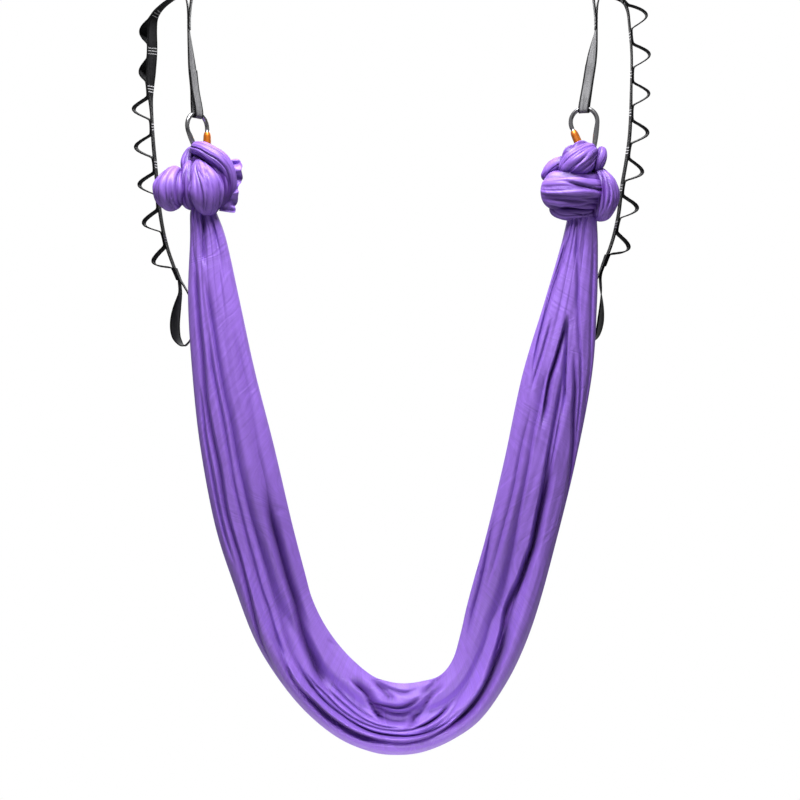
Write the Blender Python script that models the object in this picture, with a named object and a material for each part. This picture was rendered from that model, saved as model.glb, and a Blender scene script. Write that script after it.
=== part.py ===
"""Aerial hammock: a purple cloth sling, knotted at each end round a screw-gate carabiner, and hung
on two daisy chains of webbing, each clipped to the ceiling by a second carabiner of the same kind.

Metres, +Z up, +X to the viewer's right, +Y away from the viewer. The origin is where the ceiling
eye bears in the left ceiling carabiner; the right one hangs ANCHOR_SPAN further along +X.
"""

import math

import bmesh
import bpy
from mathutils import Matrix, Vector

# The clear gap kept between pieces that touch.
GAP = 0.0003
# One overrun for every cutter.
OVERRUN = 0.004

# Where the hammock hangs.
ANCHOR_SPAN = 0.936
LEFT_STRAP_DROP = 0.314
RIGHT_STRAP_DROP = 0.302
LEFT_STRAP_LEAN = 0.019
RIGHT_STRAP_LEAN = -0.0276

# Carabiner: a pear-shaped bar with a straight spine and a straight gate.
BAR_R = 0.0055
PEAR_HEIGHT = 0.104
WIDE_BOW_R = 0.031
NARROW_BOW_R = 0.016
SPINE_HALF_WIDTH = 0.0066
SPINE_HALF_THICKNESS = 0.0046
HINGE_RISE = 0.006
NOSE_LENGTH = 0.003
NOSE_GAP = 0.00075
TONGUE_THICKNESS = 0.005
TONGUE_END_R = 0.0047
TONGUE_END_shares = (0, 0.5, 0.8, 0.97)
HINGE_ROOM = 0.0057
NOSE_TONGUE_THICKNESS = 0.004
NOSE_TONGUE_LENGTH = 0.0045
NOSE_TONGUE_HALF = 0.0034
GATE_R = 0.005
GATE_SLOT_DEPTH = 0.0063
NOSE_SLOT_DEPTH = 0.0054
RIVET_R = 0.002
RIVET_LENGTH = 0.0096
SPRING_BORE_R = 0.0027
SPRING_BORE_LENGTH = 0.019
SPRING_R = 0.0019
SPRING_WIRE_R = 0.00035
SPRING_CURLS = 5
PUSHER_R = 0.0019
PUSHER_LENGTH = 0.0045
SLEEVE_LENGTH = 0.0385
SLEEVE_R = 0.0092
SLEEVE_MOUTH_R = 0.0066
SLEEVE_FLUTE = 0.0006
SLEEVE_FLUTES = 10
SLEEVE_LOW_END = 0.0015
# The sleeve's outside, as shares of its length, of its swell and of a flute's depth.
SLEEVE_PROFILE_shares = (
    (0, 0, 0), (0.06, 0.77, 0), (0.16, 1, 1), (0.74, 1, 1), (0.84, 0.77, 0), (1, 0, 0),
)

# Webbing of the daisy chains: a backbone strip, and a second strip sewn on it to make the pockets.
WEB_WIDTH = 0.025
WEB_THICKNESS = 0.0022
TACK_LENGTH = 0.028
POCKET_PITCH = 0.087
POCKETS = 7
POCKET_BULGE = 0.0375
LOWER_EYE_LENGTH = 0.100
RETURN_LEG = 0.035
TOP_POCKET_DROP = 0.092
LEFT_FIRST_TACK = 0.088
RIGHT_FIRST_TACK = 0.058
TAIL_DROP = 0.690

# Cloth.
CLOTH_SEAT_DEPTH = 0.150
CLOTH_ARM_DEPTH = 0.072
CLOTH_NECK_DEPTH = 0.052
SLING_DROP = 1.236
NECK_STUB = 0.040
CLOTH_EYE_R = 0.0072
KNOT_SIZE = 0.200
LEFT_NECK_DROP_share = 0.705
RIGHT_NECK_DROP_share = 0.815
LEFT_NECK_ASIDE_share = 0.026
RIGHT_NECK_ASIDE_share = -0.058

# How each hammock carabiner hangs: turned about the vertical, and tilted in its own plane.
LEFT_TURN = math.radians(50)
LEFT_TILT = math.radians(15)
RIGHT_TURN = math.radians(165)
RIGHT_TILT = math.radians(-8)

# Outlines read off the photograph, in its pixels, by hand. Each table is scaled by a real size.
# Sling: the edge of the cloth on the outer side of the U and the edge across from it.
LEFT_NECK_PIXEL = (203.5, 214)
RIGHT_NECK_PIXEL = (582, 221)
SLING_LOW_PIXEL = 755
SLING_PIXELS = (
    ((191, 214), (216, 214)),
    ((190, 240), (226, 240)),
    ((188, 300), (239, 300)),
    ((192, 370), (254, 370)),
    ((200, 445), (273, 445)),
    ((215, 525), (291, 522)),
    ((234, 585), (304, 572)),
    ((255, 640), (312, 600)),
    ((280, 681), (326, 628)),
    ((308, 714), (346, 654)),
    ((340, 739), (370, 675)),
    ((372, 752), (388, 682)),
    ((397, 755), (404, 684)),
    ((423, 752), (421, 682)),
    ((452, 740), (440, 676)),
    ((480, 720), (453, 660)),
    ((504, 687), (461, 634)),
    ((522, 652), (467, 608)),
    ((538, 608), (475, 578)),
    ((556, 542), (487, 535)),
    ((576, 460), (505, 460)),
    ((592, 375), (523, 375)),
    ((597, 305), (544, 305)),
    ((598, 250), (560, 250)),
    ((597, 221), (567, 221)),
)
# Knots: strands of (x, y, depth away from the viewer, radius). None stands for the turn of the
# cloth over the carabiner's narrow end.
KNOT_SIZE_PIXELS = 87
LEFT_KNOT_PIXELS = (
    ((193, 190, 5, 9), (188, 176, 9, 8), (188, 164, 8, 6.5), None, (209, 150, -11, 6),
     (218, 154, -13, 9), (229, 164, -12, 9.5), (233, 180, -8, 9), (222, 194, -4, 9)),
    ((208, 186, 0, 13), (190, 185.5, -3, 18), (174, 187.5, -4, 21), (164, 188.5, -3, 18),
     (158.5, 189, -2, 12)),
    ((197, 162, -9, 5), (200, 170, -9, 11), (204, 179, -10, 16), (207, 189, -10, 21),
     (206, 200, -7, 15), (204, 206, -3, 8)),
    ((205, 160, -7, 7), (214, 168, -6, 11), (222, 180, -5, 11), (221, 192, -3, 9)),
    ((216, 182, 8, 12), (200, 188, 9, 15), (188, 194, 8, 12)),
    ((229, 164, -2, 5), (234, 174, -2, 7), (235, 188, -2, 7.5), (233, 200, 0, 7),
     (232, 209, 0, 4)),
)
RIGHT_KNOT_PIXELS = (
    ((589, 190, 6, 10), (590, 177, 9, 9), (590, 165, 9, 6), None, (584, 147, -12, 7),
     (579, 151, -15, 12), (575, 162, -13, 16.5), (576, 180, -9, 15)),
    ((600, 194, 0, 9), (588, 193, -6, 17), (573, 191, -9, 21), (558, 190, -7, 19),
     (548, 190, -3, 13), (545, 190, 0, 8)),
    ((595, 171, -8, 7.5), (597, 164, -11.5, 6.5), (599, 157, -13.5, 6), (601, 151, -13, 5)),
    ((594, 173, -2, 9), (602, 183, -3, 13), (604, 195, -3, 13.5), (601, 206, -2, 9.5),
     (595, 212, 0, 5)),
    ((571, 186, 8, 12), (585, 190, 9, 14), (598, 195, 8, 11)),
    ((572, 178, -2, 10), (560, 172, -2, 9.5), (551, 170, 0, 8), (547, 172, 0, 5)),
)
# Free tails: the backbone's (x, y, depth, turn of its width about the vertical in degrees), down to
# the sewn end eye, and then the eye itself.
BAR_PIXEL_Y = -23.2
LEFT_BAR_PIXEL_X = 189
RIGHT_BAR_PIXEL_X = 596
TAIL_DROP_PIXELS = 300
LEFT_TAIL_PIXELS = (
    (171, 0, 1, -90), (161, 7, 3, -100), (153, 17, 5, -125), (151, 31, 7, -145),
    (151, 48, 9, -150), (149, 70, 12, -145), (148, 90, 14, -110), (149, 112, 17, -90),
    (150, 140, 21, -90), (152, 165, 24, -90), (154, 190, 25, -90), (157, 215, 25, -90),
    (162, 240, 25, -90), (169, 261, 24, -90), (176, 279, 24, -90),
)
LEFT_EYE_PIXELS = (
    (177, 290, 25, -92), (174, 303, 26, -115), (171, 322, 26, -145), (173, 338, 26, -125),
    (180, 347, 25, -100), (187, 340, 25, -85), (190, 322, 26, -80), (189, 304, 26, -80),
    (184, 290, 25, -90),
)
RIGHT_TAIL_PIXELS = (
    (614, -3, 1, 90), (623, 1, 1, 90), (628, 9, 2, 90), (630, 24, 4, 90), (632, 42, 6, 90),
    (633, 62, 8, 90), (633, 88, 12, 90), (633, 112, 15, 90), (632, 136, 18, 90),
    (629, 160, 21, 90), (625, 185, 24, 90), (622, 212, 25, 90), (616, 238, 25, 90),
    (609, 257, 24, 90), (603, 274, 24, 90),
)
RIGHT_EYE_PIXELS = (
    (604, 286, 25, 88), (605, 301, 26, 62), (604, 320, 26, 40), (600, 336, 26, 60),
    (594, 341, 25, 85), (588, 334, 25, 95), (587, 318, 26, 100), (589, 300, 26, 95),
    (595, 286, 25, 90),
)
# The webbing below a ceiling carabiner, as (share of the strip's offset beside the bar, share of the
# top pocket's drop): the backbone where it turns out to the tail, and the pocket strip's two legs.
JUNCTION_shares = ((0.36, 0.78), (0.72, 0.60), (1.45, 0.48), (2.6, 0.43))
INNER_LEG_shares = ((-0.5, 0.75), (-0.8, 0.5), (-0.98, 0.25))
OUTER_LEG_shares = ((1.02, 0.12), (1.25, 0.24), (1.75, 0.33))
# Where a strip has a station: down the sewn eye, along the taut strap, out to the tail, and along a
# pocket's backbone and its bulging strip. Then how square the pockets' bulge is.
EYE_HEIGHT_shares = (1, 0.65, 0.55, 0.45, 0.35, 0.25, 0.15, 0)
STRAP_shares = (0.33, 0.67)
TURN_OUT_shares = (0.2, 0.4, 0.6, 0.8)
POCKET_BACK_shares = (0.33, 0.67, 1)
POCKET_BULGE_shares = (0.08, 0.18, 0.29, 0.4, 0.5, 0.6, 0.71, 0.82, 0.92)
BULGE_POWER = 1.7
# A strand's rounded end, in shares of its radius, and the neck's (rise, width) inside the knot.
STRAND_END_LENGTH_share = 0.6
STRAND_END_WIDTH_share = 0.55
NECK_STUB_shares = ((0, 1), (0.5, 0.95), (1, 0.6))
# Folds of the cloth, as (share of the way from the outer edge to the inner, share of the depth):
# along the side towards the viewer, and along the side away from them.
NECK_FRONT_shares = (
    (0.05, 0.68), (0.13, 0.50), (0.23, 0.95), (0.33, 0.62), (0.43, 1.00), (0.52, 0.70),
    (0.61, 1.00), (0.70, 0.72), (0.80, 0.90), (0.88, 0.60), (0.95, 0.62),
)
LEFT_ARM_FRONT_shares = (
    (0.04, 0.70), (0.11, 0.48), (0.20, 0.95), (0.30, 1.00), (0.37, 0.58), (0.44, 0.98),
    (0.50, 0.68), (0.60, 1.00), (0.80, 0.92), (0.88, 0.62), (0.95, 0.58),
)
RIGHT_ARM_FRONT_shares = (
    (0.05, 0.60), (0.13, 0.90), (0.23, 0.52), (0.29, 0.82), (0.34, 0.48), (0.43, 0.92),
    (0.56, 1.00), (0.70, 1.00), (0.83, 0.88), (0.90, 0.62), (0.96, 0.58),
)
SEAT_FRONT_shares = (
    (0.05, 0.76), (0.13, 1.00), (0.21, 0.88), (0.26, 0.56), (0.32, 0.84), (0.37, 0.56),
    (0.43, 0.80), (0.54, 0.42), (0.68, 0.62), (0.82, 0.30), (0.94, 0.36),
)
NECK_BACK_shares = (
    (0.95, 0.60), (0.87, 0.92), (0.78, 0.66), (0.68, 1.00), (0.58, 0.70), (0.48, 1.00),
    (0.38, 0.70), (0.28, 0.98), (0.19, 0.64), (0.11, 0.86), (0.05, 0.58),
)
ARM_BACK_shares = (
    (0.95, 0.62), (0.87, 0.90), (0.77, 0.98), (0.69, 0.66), (0.60, 0.98), (0.48, 1.00),
    (0.40, 0.62), (0.30, 0.96), (0.20, 0.62), (0.12, 0.88), (0.05, 0.62),
)
SEAT_BACK_shares = (
    (0.95, 0.44), (0.86, 0.60), (0.75, 0.74), (0.66, 0.62), (0.56, 0.90), (0.46, 0.96),
    (0.38, 0.72), (0.29, 1.00), (0.21, 0.86), (0.13, 0.96), (0.05, 0.74),
)
# Where along the sling each of those holds, and its depth there.
FOLD_KEYS = (
    (0.00, CLOTH_NECK_DEPTH, NECK_FRONT_shares, NECK_BACK_shares),
    (0.20, CLOTH_ARM_DEPTH, LEFT_ARM_FRONT_shares, ARM_BACK_shares),
    (0.50, CLOTH_SEAT_DEPTH, SEAT_FRONT_shares, SEAT_BACK_shares),
    (0.80, CLOTH_ARM_DEPTH, RIGHT_ARM_FRONT_shares, ARM_BACK_shares),
    (1.00, CLOTH_NECK_DEPTH, NECK_FRONT_shares, NECK_BACK_shares),
)

# Spacing of the rings along a strip of webbing, and along a strand of a knot.
WEB_STEP = 0.020
STRAND_STEP = 0.016
UP = Vector((0, 0, 1))
BACK = Vector((0, 1, 0))


def clear_scene():
    for thing in list(bpy.data.objects):
        bpy.data.objects.remove(thing, do_unlink=True)


def material(name, colour, roughness, metallic):
    made = bpy.data.materials.new(name)
    made.use_nodes = True
    shader = made.node_tree.nodes["Principled BSDF"]
    shader.inputs["Base Color"].default_value = (*colour, 1)
    shader.inputs["Roughness"].default_value = roughness
    shader.inputs["Metallic"].default_value = metallic
    return made


def add_object(name, mesh, finish, parent=None, place=None):
    """An object of that mesh, shaded smooth but for its sharp edges."""
    made = bpy.data.objects.new(name, mesh)
    bpy.context.scene.collection.objects.link(made)
    if not mesh.materials:
        mesh.materials.append(finish)
    mesh.shade_smooth()
    mesh.set_sharp_from_angle(angle=math.radians(40))
    made.parent = parent
    if place is not None:
        made.matrix_local = place
    return made


def loft(name, rings, joined_up=False):
    """A closed skin over rings of points: capped at both ends, or joined end to end."""
    bm = bmesh.new()
    loops = [[bm.verts.new(point) for point in ring] for ring in rings]
    count = len(loops[0])
    pairs = list(zip(loops, loops[1:]))
    if joined_up:
        pairs.append((loops[-1], loops[0]))
    else:
        bm.faces.new(loops[0])
        bm.faces.new(loops[-1])
    for low, high in pairs:
        for i in range(count):
            k = (i + 1) % count
            bm.faces.new((low[i], low[k], high[k], high[i]))
    return finished(name, bm)


def finished(name, bm):
    """The mesh of a closed shape, with its faces turned outwards."""
    bmesh.ops.recalc_face_normals(bm, faces=bm.faces)
    mesh = bpy.data.meshes.new(name)
    bm.to_mesh(mesh)
    bm.free()
    return mesh


def cylinder(name, start, end, radius, sides):
    """A round bar between two points."""
    axis = (end - start).normalized()
    across = axis.orthogonal().normalized()
    other = axis.cross(across)
    rings = []
    for centre in (start, end):
        rings.append([
            centre + (across * math.cos(turn) + other * math.sin(turn)) * radius
            for turn in (math.tau * i / sides for i in range(sides))
        ])
    return loft(name, rings)


def combined(name, base, changes, folded=False):
    """The base mesh after each (operation, mesh) of changes. Folded shapes may cross themselves."""
    body = bpy.data.objects.new(name, base)
    bpy.context.scene.collection.objects.link(body)
    tools = []
    for operation, mesh in changes:
        tool = bpy.data.objects.new(name + "_tool", mesh)
        bpy.context.scene.collection.objects.link(tool)
        tools.append(tool)
        step = body.modifiers.new(operation.lower(), "BOOLEAN")
        step.operation = operation
        step.use_self = folded
        step.object = tool
    graph = bpy.context.evaluated_depsgraph_get()
    made = bpy.data.meshes.new_from_object(body.evaluated_get(graph))
    made.name = name
    for thing in [body, *tools]:
        bpy.data.objects.remove(thing, do_unlink=True)
    return made


def smooth_path(points, step):
    """Points about step apart on a smooth curve through the given vectors of any length."""
    ends = [points[0] * 2 - points[1], *points, points[-1] * 2 - points[-2]]
    found = []
    for a, b, c, d in zip(ends, ends[1:], ends[2:], ends[3:]):
        pieces = max(1, round((Vector(c[:3]) - Vector(b[:3])).length / step))
        for i in range(pieces):
            t = i / pieces
            found.append(
                (b * 2 + (c - a) * t + (a * 2 - b * 5 + c * 4 - d) * t**2
                 + (b * 3 - a - c * 3 + d) * t**3) / 2
            )
    found.append(points[-1].copy())
    return found


def ease(t):
    t = min(1, max(0, t))
    return t * t * (3 - 2 * t)


# The carabiner, in its own plane: +X from spine to gate, +Z from narrow end to wide end.
WIDE_CENTRE = Vector((0, 0, PEAR_HEIGHT - WIDE_BOW_R))
NARROW_CENTRE = Vector((0, 0, NARROW_BOW_R))
CENTRES_APART = PEAR_HEIGHT - WIDE_BOW_R - NARROW_BOW_R
SIDE_SLOPE = math.asin((WIDE_BOW_R - NARROW_BOW_R) / CENTRES_APART)
WIDE_SWEEP = math.pi + 2 * SIDE_SLOPE
WIDE_STEPS = 16
NARROW_STEPS = 9
SPINE_STEPS = 4
KNUCKLE_STEPS = 8
GATE_OUT = Vector((math.cos(SIDE_SLOPE), 0, -math.sin(SIDE_SLOPE)))
GATE_ALONG = Vector((math.sin(SIDE_SLOPE), 0, math.cos(SIDE_SLOPE)))
HINGE = NARROW_CENTRE + GATE_OUT * NARROW_BOW_R + GATE_ALONG * HINGE_RISE
GATE_LENGTH = CENTRES_APART * math.cos(SIDE_SLOPE) - HINGE_RISE - NOSE_LENGTH - NOSE_GAP
SLEEVE_TRAVEL = GATE_LENGTH - GAP - SLEEVE_LENGTH - SLEEVE_LOW_END


def on_gate(along, out=0.0, across=0.0):
    """A point by its distance along the gate's axis from the hinge, outwards, and across the plane."""
    return HINGE + GATE_ALONG * along + GATE_OUT * out + BACK * across


def bar_section(centre, out, half_width, half_thickness, sides=10):
    """A ring round the bar: an ellipse cut flat at half_thickness to either side of the plane."""
    ring = []
    for i in range(sides):
        turn = math.tau * (i + 0.5) / sides
        across = math.sin(turn) * BAR_R
        across = max(-half_thickness, min(half_thickness, across))
        ring.append(centre + out * (math.cos(turn) * half_width) + BACK * across)
    return ring


def frame_mesh():
    """The bent bar, from the tongue at its nose round to the tongue that carries the hinge."""
    rings = []
    nose = GATE_LENGTH + NOSE_GAP
    tip = nose - NOSE_TONGUE_LENGTH
    half_nose = NOSE_TONGUE_THICKNESS / 2
    for along in (tip, nose):
        rings.append(bar_section(on_gate(along), GATE_OUT, NOSE_TONGUE_HALF, half_nose))
    rings.append(bar_section(on_gate(nose), GATE_OUT, BAR_R, BAR_R))
    for i in range(WIDE_STEPS + 1):
        turn = -SIDE_SLOPE + WIDE_SWEEP * i / WIDE_STEPS
        out = Vector((math.cos(turn), 0, math.sin(turn)))
        rings.append(bar_section(WIDE_CENTRE + out * WIDE_BOW_R, out, BAR_R, BAR_R))
    spine_out = Vector((-math.cos(SIDE_SLOPE), 0, -math.sin(SIDE_SLOPE)))
    spine_top = WIDE_CENTRE + spine_out * WIDE_BOW_R
    spine_foot = NARROW_CENTRE + spine_out * NARROW_BOW_R
    for i in range(1, SPINE_STEPS):
        centre = spine_top.lerp(spine_foot, i / SPINE_STEPS)
        rings.append(bar_section(centre, spine_out, SPINE_HALF_WIDTH, SPINE_HALF_THICKNESS))
    for i in range(NARROW_STEPS + 1):
        turn = math.pi + SIDE_SLOPE + (math.pi - 2 * SIDE_SLOPE) * i / NARROW_STEPS
        out = Vector((math.cos(turn), 0, math.sin(turn)))
        rings.append(bar_section(NARROW_CENTRE + out * NARROW_BOW_R, out, BAR_R, BAR_R))
    rings.append(bar_section(on_gate(-HINGE_ROOM), GATE_OUT, BAR_R, BAR_R))
    half_tongue = TONGUE_THICKNESS / 2
    rings.append(bar_section(on_gate(-HINGE_ROOM), GATE_OUT, TONGUE_END_R, half_tongue))
    for rise_share in TONGUE_END_shares:
        half_width = TONGUE_END_R * math.sqrt(1 - rise_share**2)
        centre = on_gate(TONGUE_END_R * rise_share)
        rings.append(bar_section(centre, GATE_OUT, half_width, half_tongue))
    hole_half = TONGUE_THICKNESS / 2 + OVERRUN
    hole = cylinder(
        "rivet_hole", on_gate(0, 0, -hole_half), on_gate(0, 0, hole_half), RIVET_R + GAP, 12
    )
    return combined("carabiner_frame", loft("bar", rings), [("DIFFERENCE", hole)])


def gate_mesh():
    """The gate's barrel: forked over the hinge tongue, slotted for the nose, bored for its spring."""
    barrel = cylinder("barrel", on_gate(-GATE_R), on_gate(GATE_LENGTH), GATE_R, 14)
    half = GATE_R + OVERRUN
    outline = [(0, -half)]
    for i in range(1, KNUCKLE_STEPS):
        turn = math.pi * i / KNUCKLE_STEPS
        outline.append((-math.sin(turn) * GATE_R, -math.cos(turn) * GATE_R))
    outline += [(0, half), (GATE_LENGTH + OVERRUN, half), (GATE_LENGTH + OVERRUN, -half)]
    knuckle = loft(
        "knuckle", [[on_gate(a, o, side) for a, o in outline] for side in (-half, half)]
    )
    hinge_slot = gate_block(
        "hinge_slot", -GATE_R - OVERRUN, GATE_SLOT_DEPTH, TONGUE_THICKNESS / 2 + GAP
    )
    nose_slot = gate_block(
        "nose_slot", GATE_LENGTH - NOSE_SLOT_DEPTH, GATE_LENGTH + OVERRUN,
        NOSE_TONGUE_THICKNESS / 2 + GAP,
    )
    hole = cylinder("hole", on_gate(0, 0, -half), on_gate(0, 0, half), RIVET_R + GAP, 12)
    bore = cylinder(
        "bore", on_gate(GATE_SLOT_DEPTH - OVERRUN / 2),
        on_gate(GATE_SLOT_DEPTH + SPRING_BORE_LENGTH), SPRING_BORE_R, 12,
    )
    changes = [("INTERSECT", knuckle)]
    changes += [("DIFFERENCE", tool) for tool in (hinge_slot, nose_slot, hole, bore)]
    return combined("carabiner_gate", barrel, changes)


def gate_block(name, low, high, half_thickness):
    """A cutter that spans the gate from one side to the other, between two distances along it."""
    side = GATE_R + OVERRUN
    corners = [(low, -side), (high, -side), (high, side), (low, side)]
    rings = []
    for across in (-half_thickness, half_thickness):
        rings.append([on_gate(along, out, across) for along, out in corners])
    return loft(name, rings)


def sleeve_mesh():
    """The screw sleeve: a fluted grip that swells at its middle, with a plain bore."""
    around = SLEEVE_FLUTES * 2
    profile = []
    for length_share, swell_share, flute_share in SLEEVE_PROFILE_shares:
        radius = SLEEVE_MOUTH_R + (SLEEVE_R - SLEEVE_MOUTH_R) * swell_share
        profile.append((length_share, radius, flute_share))
    inside_r = GATE_R + GAP
    profile += [(1, inside_r, 0), (0, inside_r, 0)]
    rings = []
    for length_share, radius, flute_share in profile:
        ring = []
        for i in range(around):
            turn = math.tau * i / around
            reach = radius - SLEEVE_FLUTE * flute_share * (i % 2)
            ring.append(on_gate(
                SLEEVE_LENGTH * length_share, math.cos(turn) * reach, math.sin(turn) * reach
            ))
        rings.append(ring)
    return loft("carabiner_sleeve", rings, joined_up=True)


def spring_mesh():
    """The coil that closes the gate, squared off where its wire ends."""
    low = TONGUE_END_R + GAP + PUSHER_LENGTH + GAP + SPRING_WIRE_R
    high = GATE_SLOT_DEPTH + SPRING_BORE_LENGTH - GAP - SPRING_WIRE_R
    per_curl, sides = 8, 4
    count = SPRING_CURLS * per_curl
    line = []
    for i in range(count + 1):
        turn = math.tau * i / per_curl
        along = low + (high - low) * i / count
        line.append(on_gate(along, math.cos(turn) * SPRING_R, math.sin(turn) * SPRING_R))
    rings = []
    for i, centre in enumerate(line):
        ahead = (line[min(i + 1, count)] - line[max(i - 1, 0)]).normalized()
        out = (centre - on_gate(low + (high - low) * i / count)).normalized()
        side = ahead.cross(out)
        rings.append([
            centre + (out * math.cos(turn) + side * math.sin(turn)) * SPRING_WIRE_R
            for turn in (math.tau * k / sides for k in range(sides))
        ])
    return loft("carabiner_spring", rings)


def pusher_mesh():
    """The short rod between the spring and the round end of the hinge tongue."""
    foot = TONGUE_END_R + GAP
    return cylinder(
        "carabiner_pusher", on_gate(foot), on_gate(foot + PUSHER_LENGTH), PUSHER_R, 10
    )


def rivet_mesh():
    half = RIVET_LENGTH / 2
    return cylinder("carabiner_rivet", on_gate(0, 0, -half), on_gate(0, 0, half), RIVET_R, 12)


def carabiner_meshes():
    return {
        "frame": frame_mesh(),
        "rivet": rivet_mesh(),
        "gate": gate_mesh(),
        "sleeve": sleeve_mesh(),
        "spring": spring_mesh(),
        "pusher": pusher_mesh(),
    }


def place_carabiner(prefix, meshes, finishes, place, parent):
    """One carabiner, its gate's pieces on an empty at the hinge and its sleeve run back from the nose."""
    body = bpy.data.objects.new(prefix + "_carabiner", None)
    bpy.context.scene.collection.objects.link(body)
    body.parent = parent
    body.matrix_local = place
    hinge = bpy.data.objects.new(prefix + "_hinge", None)
    bpy.context.scene.collection.objects.link(hinge)
    hinge.parent = body
    hinge.location = HINGE
    at_hinge = Matrix.Translation(-HINGE)
    steel, spring_steel, orange = finishes
    add_object(prefix + "_frame", meshes["frame"], steel, body)
    add_object(prefix + "_rivet", meshes["rivet"], steel, body)
    add_object(prefix + "_gate", meshes["gate"], steel, hinge, at_hinge)
    add_object(prefix + "_gate_spring", meshes["spring"], spring_steel, hinge, at_hinge)
    add_object(prefix + "_gate_pusher", meshes["pusher"], steel, hinge, at_hinge)
    slid = Matrix.Translation(GATE_ALONG * SLEEVE_LOW_END - HINGE)
    add_object(prefix + "_sleeve", meshes["sleeve"], orange, hinge, slid)


def ceiling_place(anchor):
    """Narrow end up, spine to the front and gate to the back, with the eye's seat at the anchor."""
    turn = Matrix(((0, 1, 0), (1, 0, 0), (0, 0, -1))).to_4x4()
    return Matrix.Translation(anchor + UP * BAR_R) @ turn


def hanging_place(bar_point, turn, tilt):
    """Wide end up, with the bar's top point at bar_point however the pear is turned and tilted."""
    placed = Matrix.Rotation(turn, 4, "Z") @ Matrix.Rotation(tilt * -1, 4, "Y")
    centre = bar_point - UP * WIDE_BOW_R
    return Matrix.Translation(centre) @ placed @ Matrix.Translation(-WIDE_CENTRE)


class Side:
    """Where one side of the hammock hangs. outward is -1 on the left and +1 on the right."""

    def __init__(self, name, anchor_x, outward, drop, lean, turn, tilt, web_turn, first_tack):
        self.name = name
        self.outward = Vector((outward, 0, 0))
        self.anchor = Vector((anchor_x, 0, 0))
        self.upper_bar = self.anchor - UP * (PEAR_HEIGHT - BAR_R)
        self.swing_axis = self.upper_bar + UP * WIDE_BOW_R
        self.lower_bar = self.upper_bar + Vector((lean, 0, -drop))
        self.place = hanging_place(self.lower_bar, turn, tilt)
        self.web_turn = web_turn
        self.first_tack = first_tack
        self.through = UP.cross(Vector((math.cos(turn), math.sin(turn), 0)))
        low = self.place @ NARROW_CENTRE - UP * NARROW_BOW_R
        self.narrow_bar = low


LEFT = Side(
    "left", 0, -1, LEFT_STRAP_DROP, LEFT_STRAP_LEAN, LEFT_TURN, LEFT_TILT,
    LEFT_TURN - math.pi, LEFT_FIRST_TACK,
)
RIGHT = Side(
    "right", ANCHOR_SPAN, 1, RIGHT_STRAP_DROP, RIGHT_STRAP_LEAN, RIGHT_TURN, RIGHT_TILT,
    RIGHT_TURN, RIGHT_FIRST_TACK,
)

# Webbing. Two strips that lie on each other are LAYER apart at their middles. A strip round a bar
# passes it WRAP to either side, and bears on the curve of the bow by its two edges at BOW_SEAT.
LAYER = WEB_THICKNESS + GAP
WRAP = BAR_R + GAP + WEB_THICKNESS / 2
BOW_INSIDE = (WIDE_BOW_R - BAR_R) * math.cos(WIDE_SWEEP / WIDE_STEPS / 2) - GAP
BOW_SEAT = WIDE_BOW_R - math.sqrt(BOW_INSIDE**2 - (WEB_WIDTH / 2) ** 2) + WEB_THICKNESS / 2
# A turn over a bar is made of this many straight runs, let out so that their middles clear the bar.
TURN_STEPS = 8
# The long first tack twists with the tail, so it has several stations.
TACK_STEPS = 6


def half_turn(aside, outwards, reach):
    """Offsets from a bar's middle for a round turn over it, aside at both ends and reach at its top."""
    radius = aside.length
    out = 1 / math.cos(math.pi / (2 * TURN_STEPS))
    offsets = []
    for i in range(TURN_STEPS + 1):
        turn = math.pi * i / TURN_STEPS
        side_share = math.cos(turn) * (out if 0 < i < TURN_STEPS else 1)
        rise = reach - radius + radius * out * math.sin(turn)
        offsets.append(aside * side_share + outwards * rise)
    return offsets


class Route:
    """The line of the backbone strip. Each point is (x, y, z, turn of the width in radians)."""

    def __init__(self, points):
        self.points = points
        self.lengths = [0.0]
        for a, b in zip(points, points[1:]):
            self.lengths.append(self.lengths[-1] + (b - a).xyz.length)

    def station(self, length, off=0.0, square=True):
        """A station of a strip that lies off the backbone's face by a distance."""
        last = len(self.points) - 2
        i = 0
        while i < last and self.lengths[i + 1] < length:
            i += 1
        share = (length - self.lengths[i]) / (self.lengths[i + 1] - self.lengths[i])
        here = self.points[i].lerp(self.points[i + 1], share)
        low, high = max(0, i - 1), min(last + 1, i + 2)
        ahead = (self.points[high] - self.points[low]).xyz.normalized()
        width = Vector((math.cos(here.w), math.sin(here.w), 0))
        width = (width - ahead * width.dot(ahead)).normalized()
        face = ahead.cross(width)
        return here.xyz + face * off, width, face if square else None


def bare_station(point):
    """A station from (x, y, z, turn), whose face follows from its neighbours."""
    return point.xyz, Vector((math.cos(point.w), math.sin(point.w), 0)), None


def strip_mesh(name, stations):
    """A flat strip of webbing through stations of (middle, width direction, face direction).

    Both faces are split along the same diagonal, so that two strips that twist together stay apart.
    """
    bm = bmesh.new()
    rings = []
    last = len(stations) - 1
    for i, (centre, width, face) in enumerate(stations):
        if face is None:
            ahead = (stations[min(i + 1, last)][0] - stations[max(i - 1, 0)][0]).normalized()
            width = (width - ahead * width.dot(ahead)).normalized()
            face = ahead.cross(width)
        half = face * (WEB_THICKNESS / 2)
        side = width * (WEB_WIDTH / 2)
        corners = (centre - side + half, centre + side + half, centre + side - half,
                   centre - side - half)
        rings.append([bm.verts.new(corner) for corner in corners])
    for low, high in zip(rings, rings[1:]):
        bm.faces.new((low[0], low[1], high[1]))
        bm.faces.new((low[0], high[1], high[0]))
        bm.faces.new((low[2], low[3], high[2]))
        bm.faces.new((low[3], high[3], high[2]))
        bm.faces.new((low[1], low[2], high[2], high[1]))
        bm.faces.new((low[3], low[0], high[0], high[3]))
    bm.faces.new(rings[0])
    bm.faces.new(rings[-1])
    return finished(name, bm)


def with_turn(point, turn):
    return Vector((*point, turn))


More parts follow.
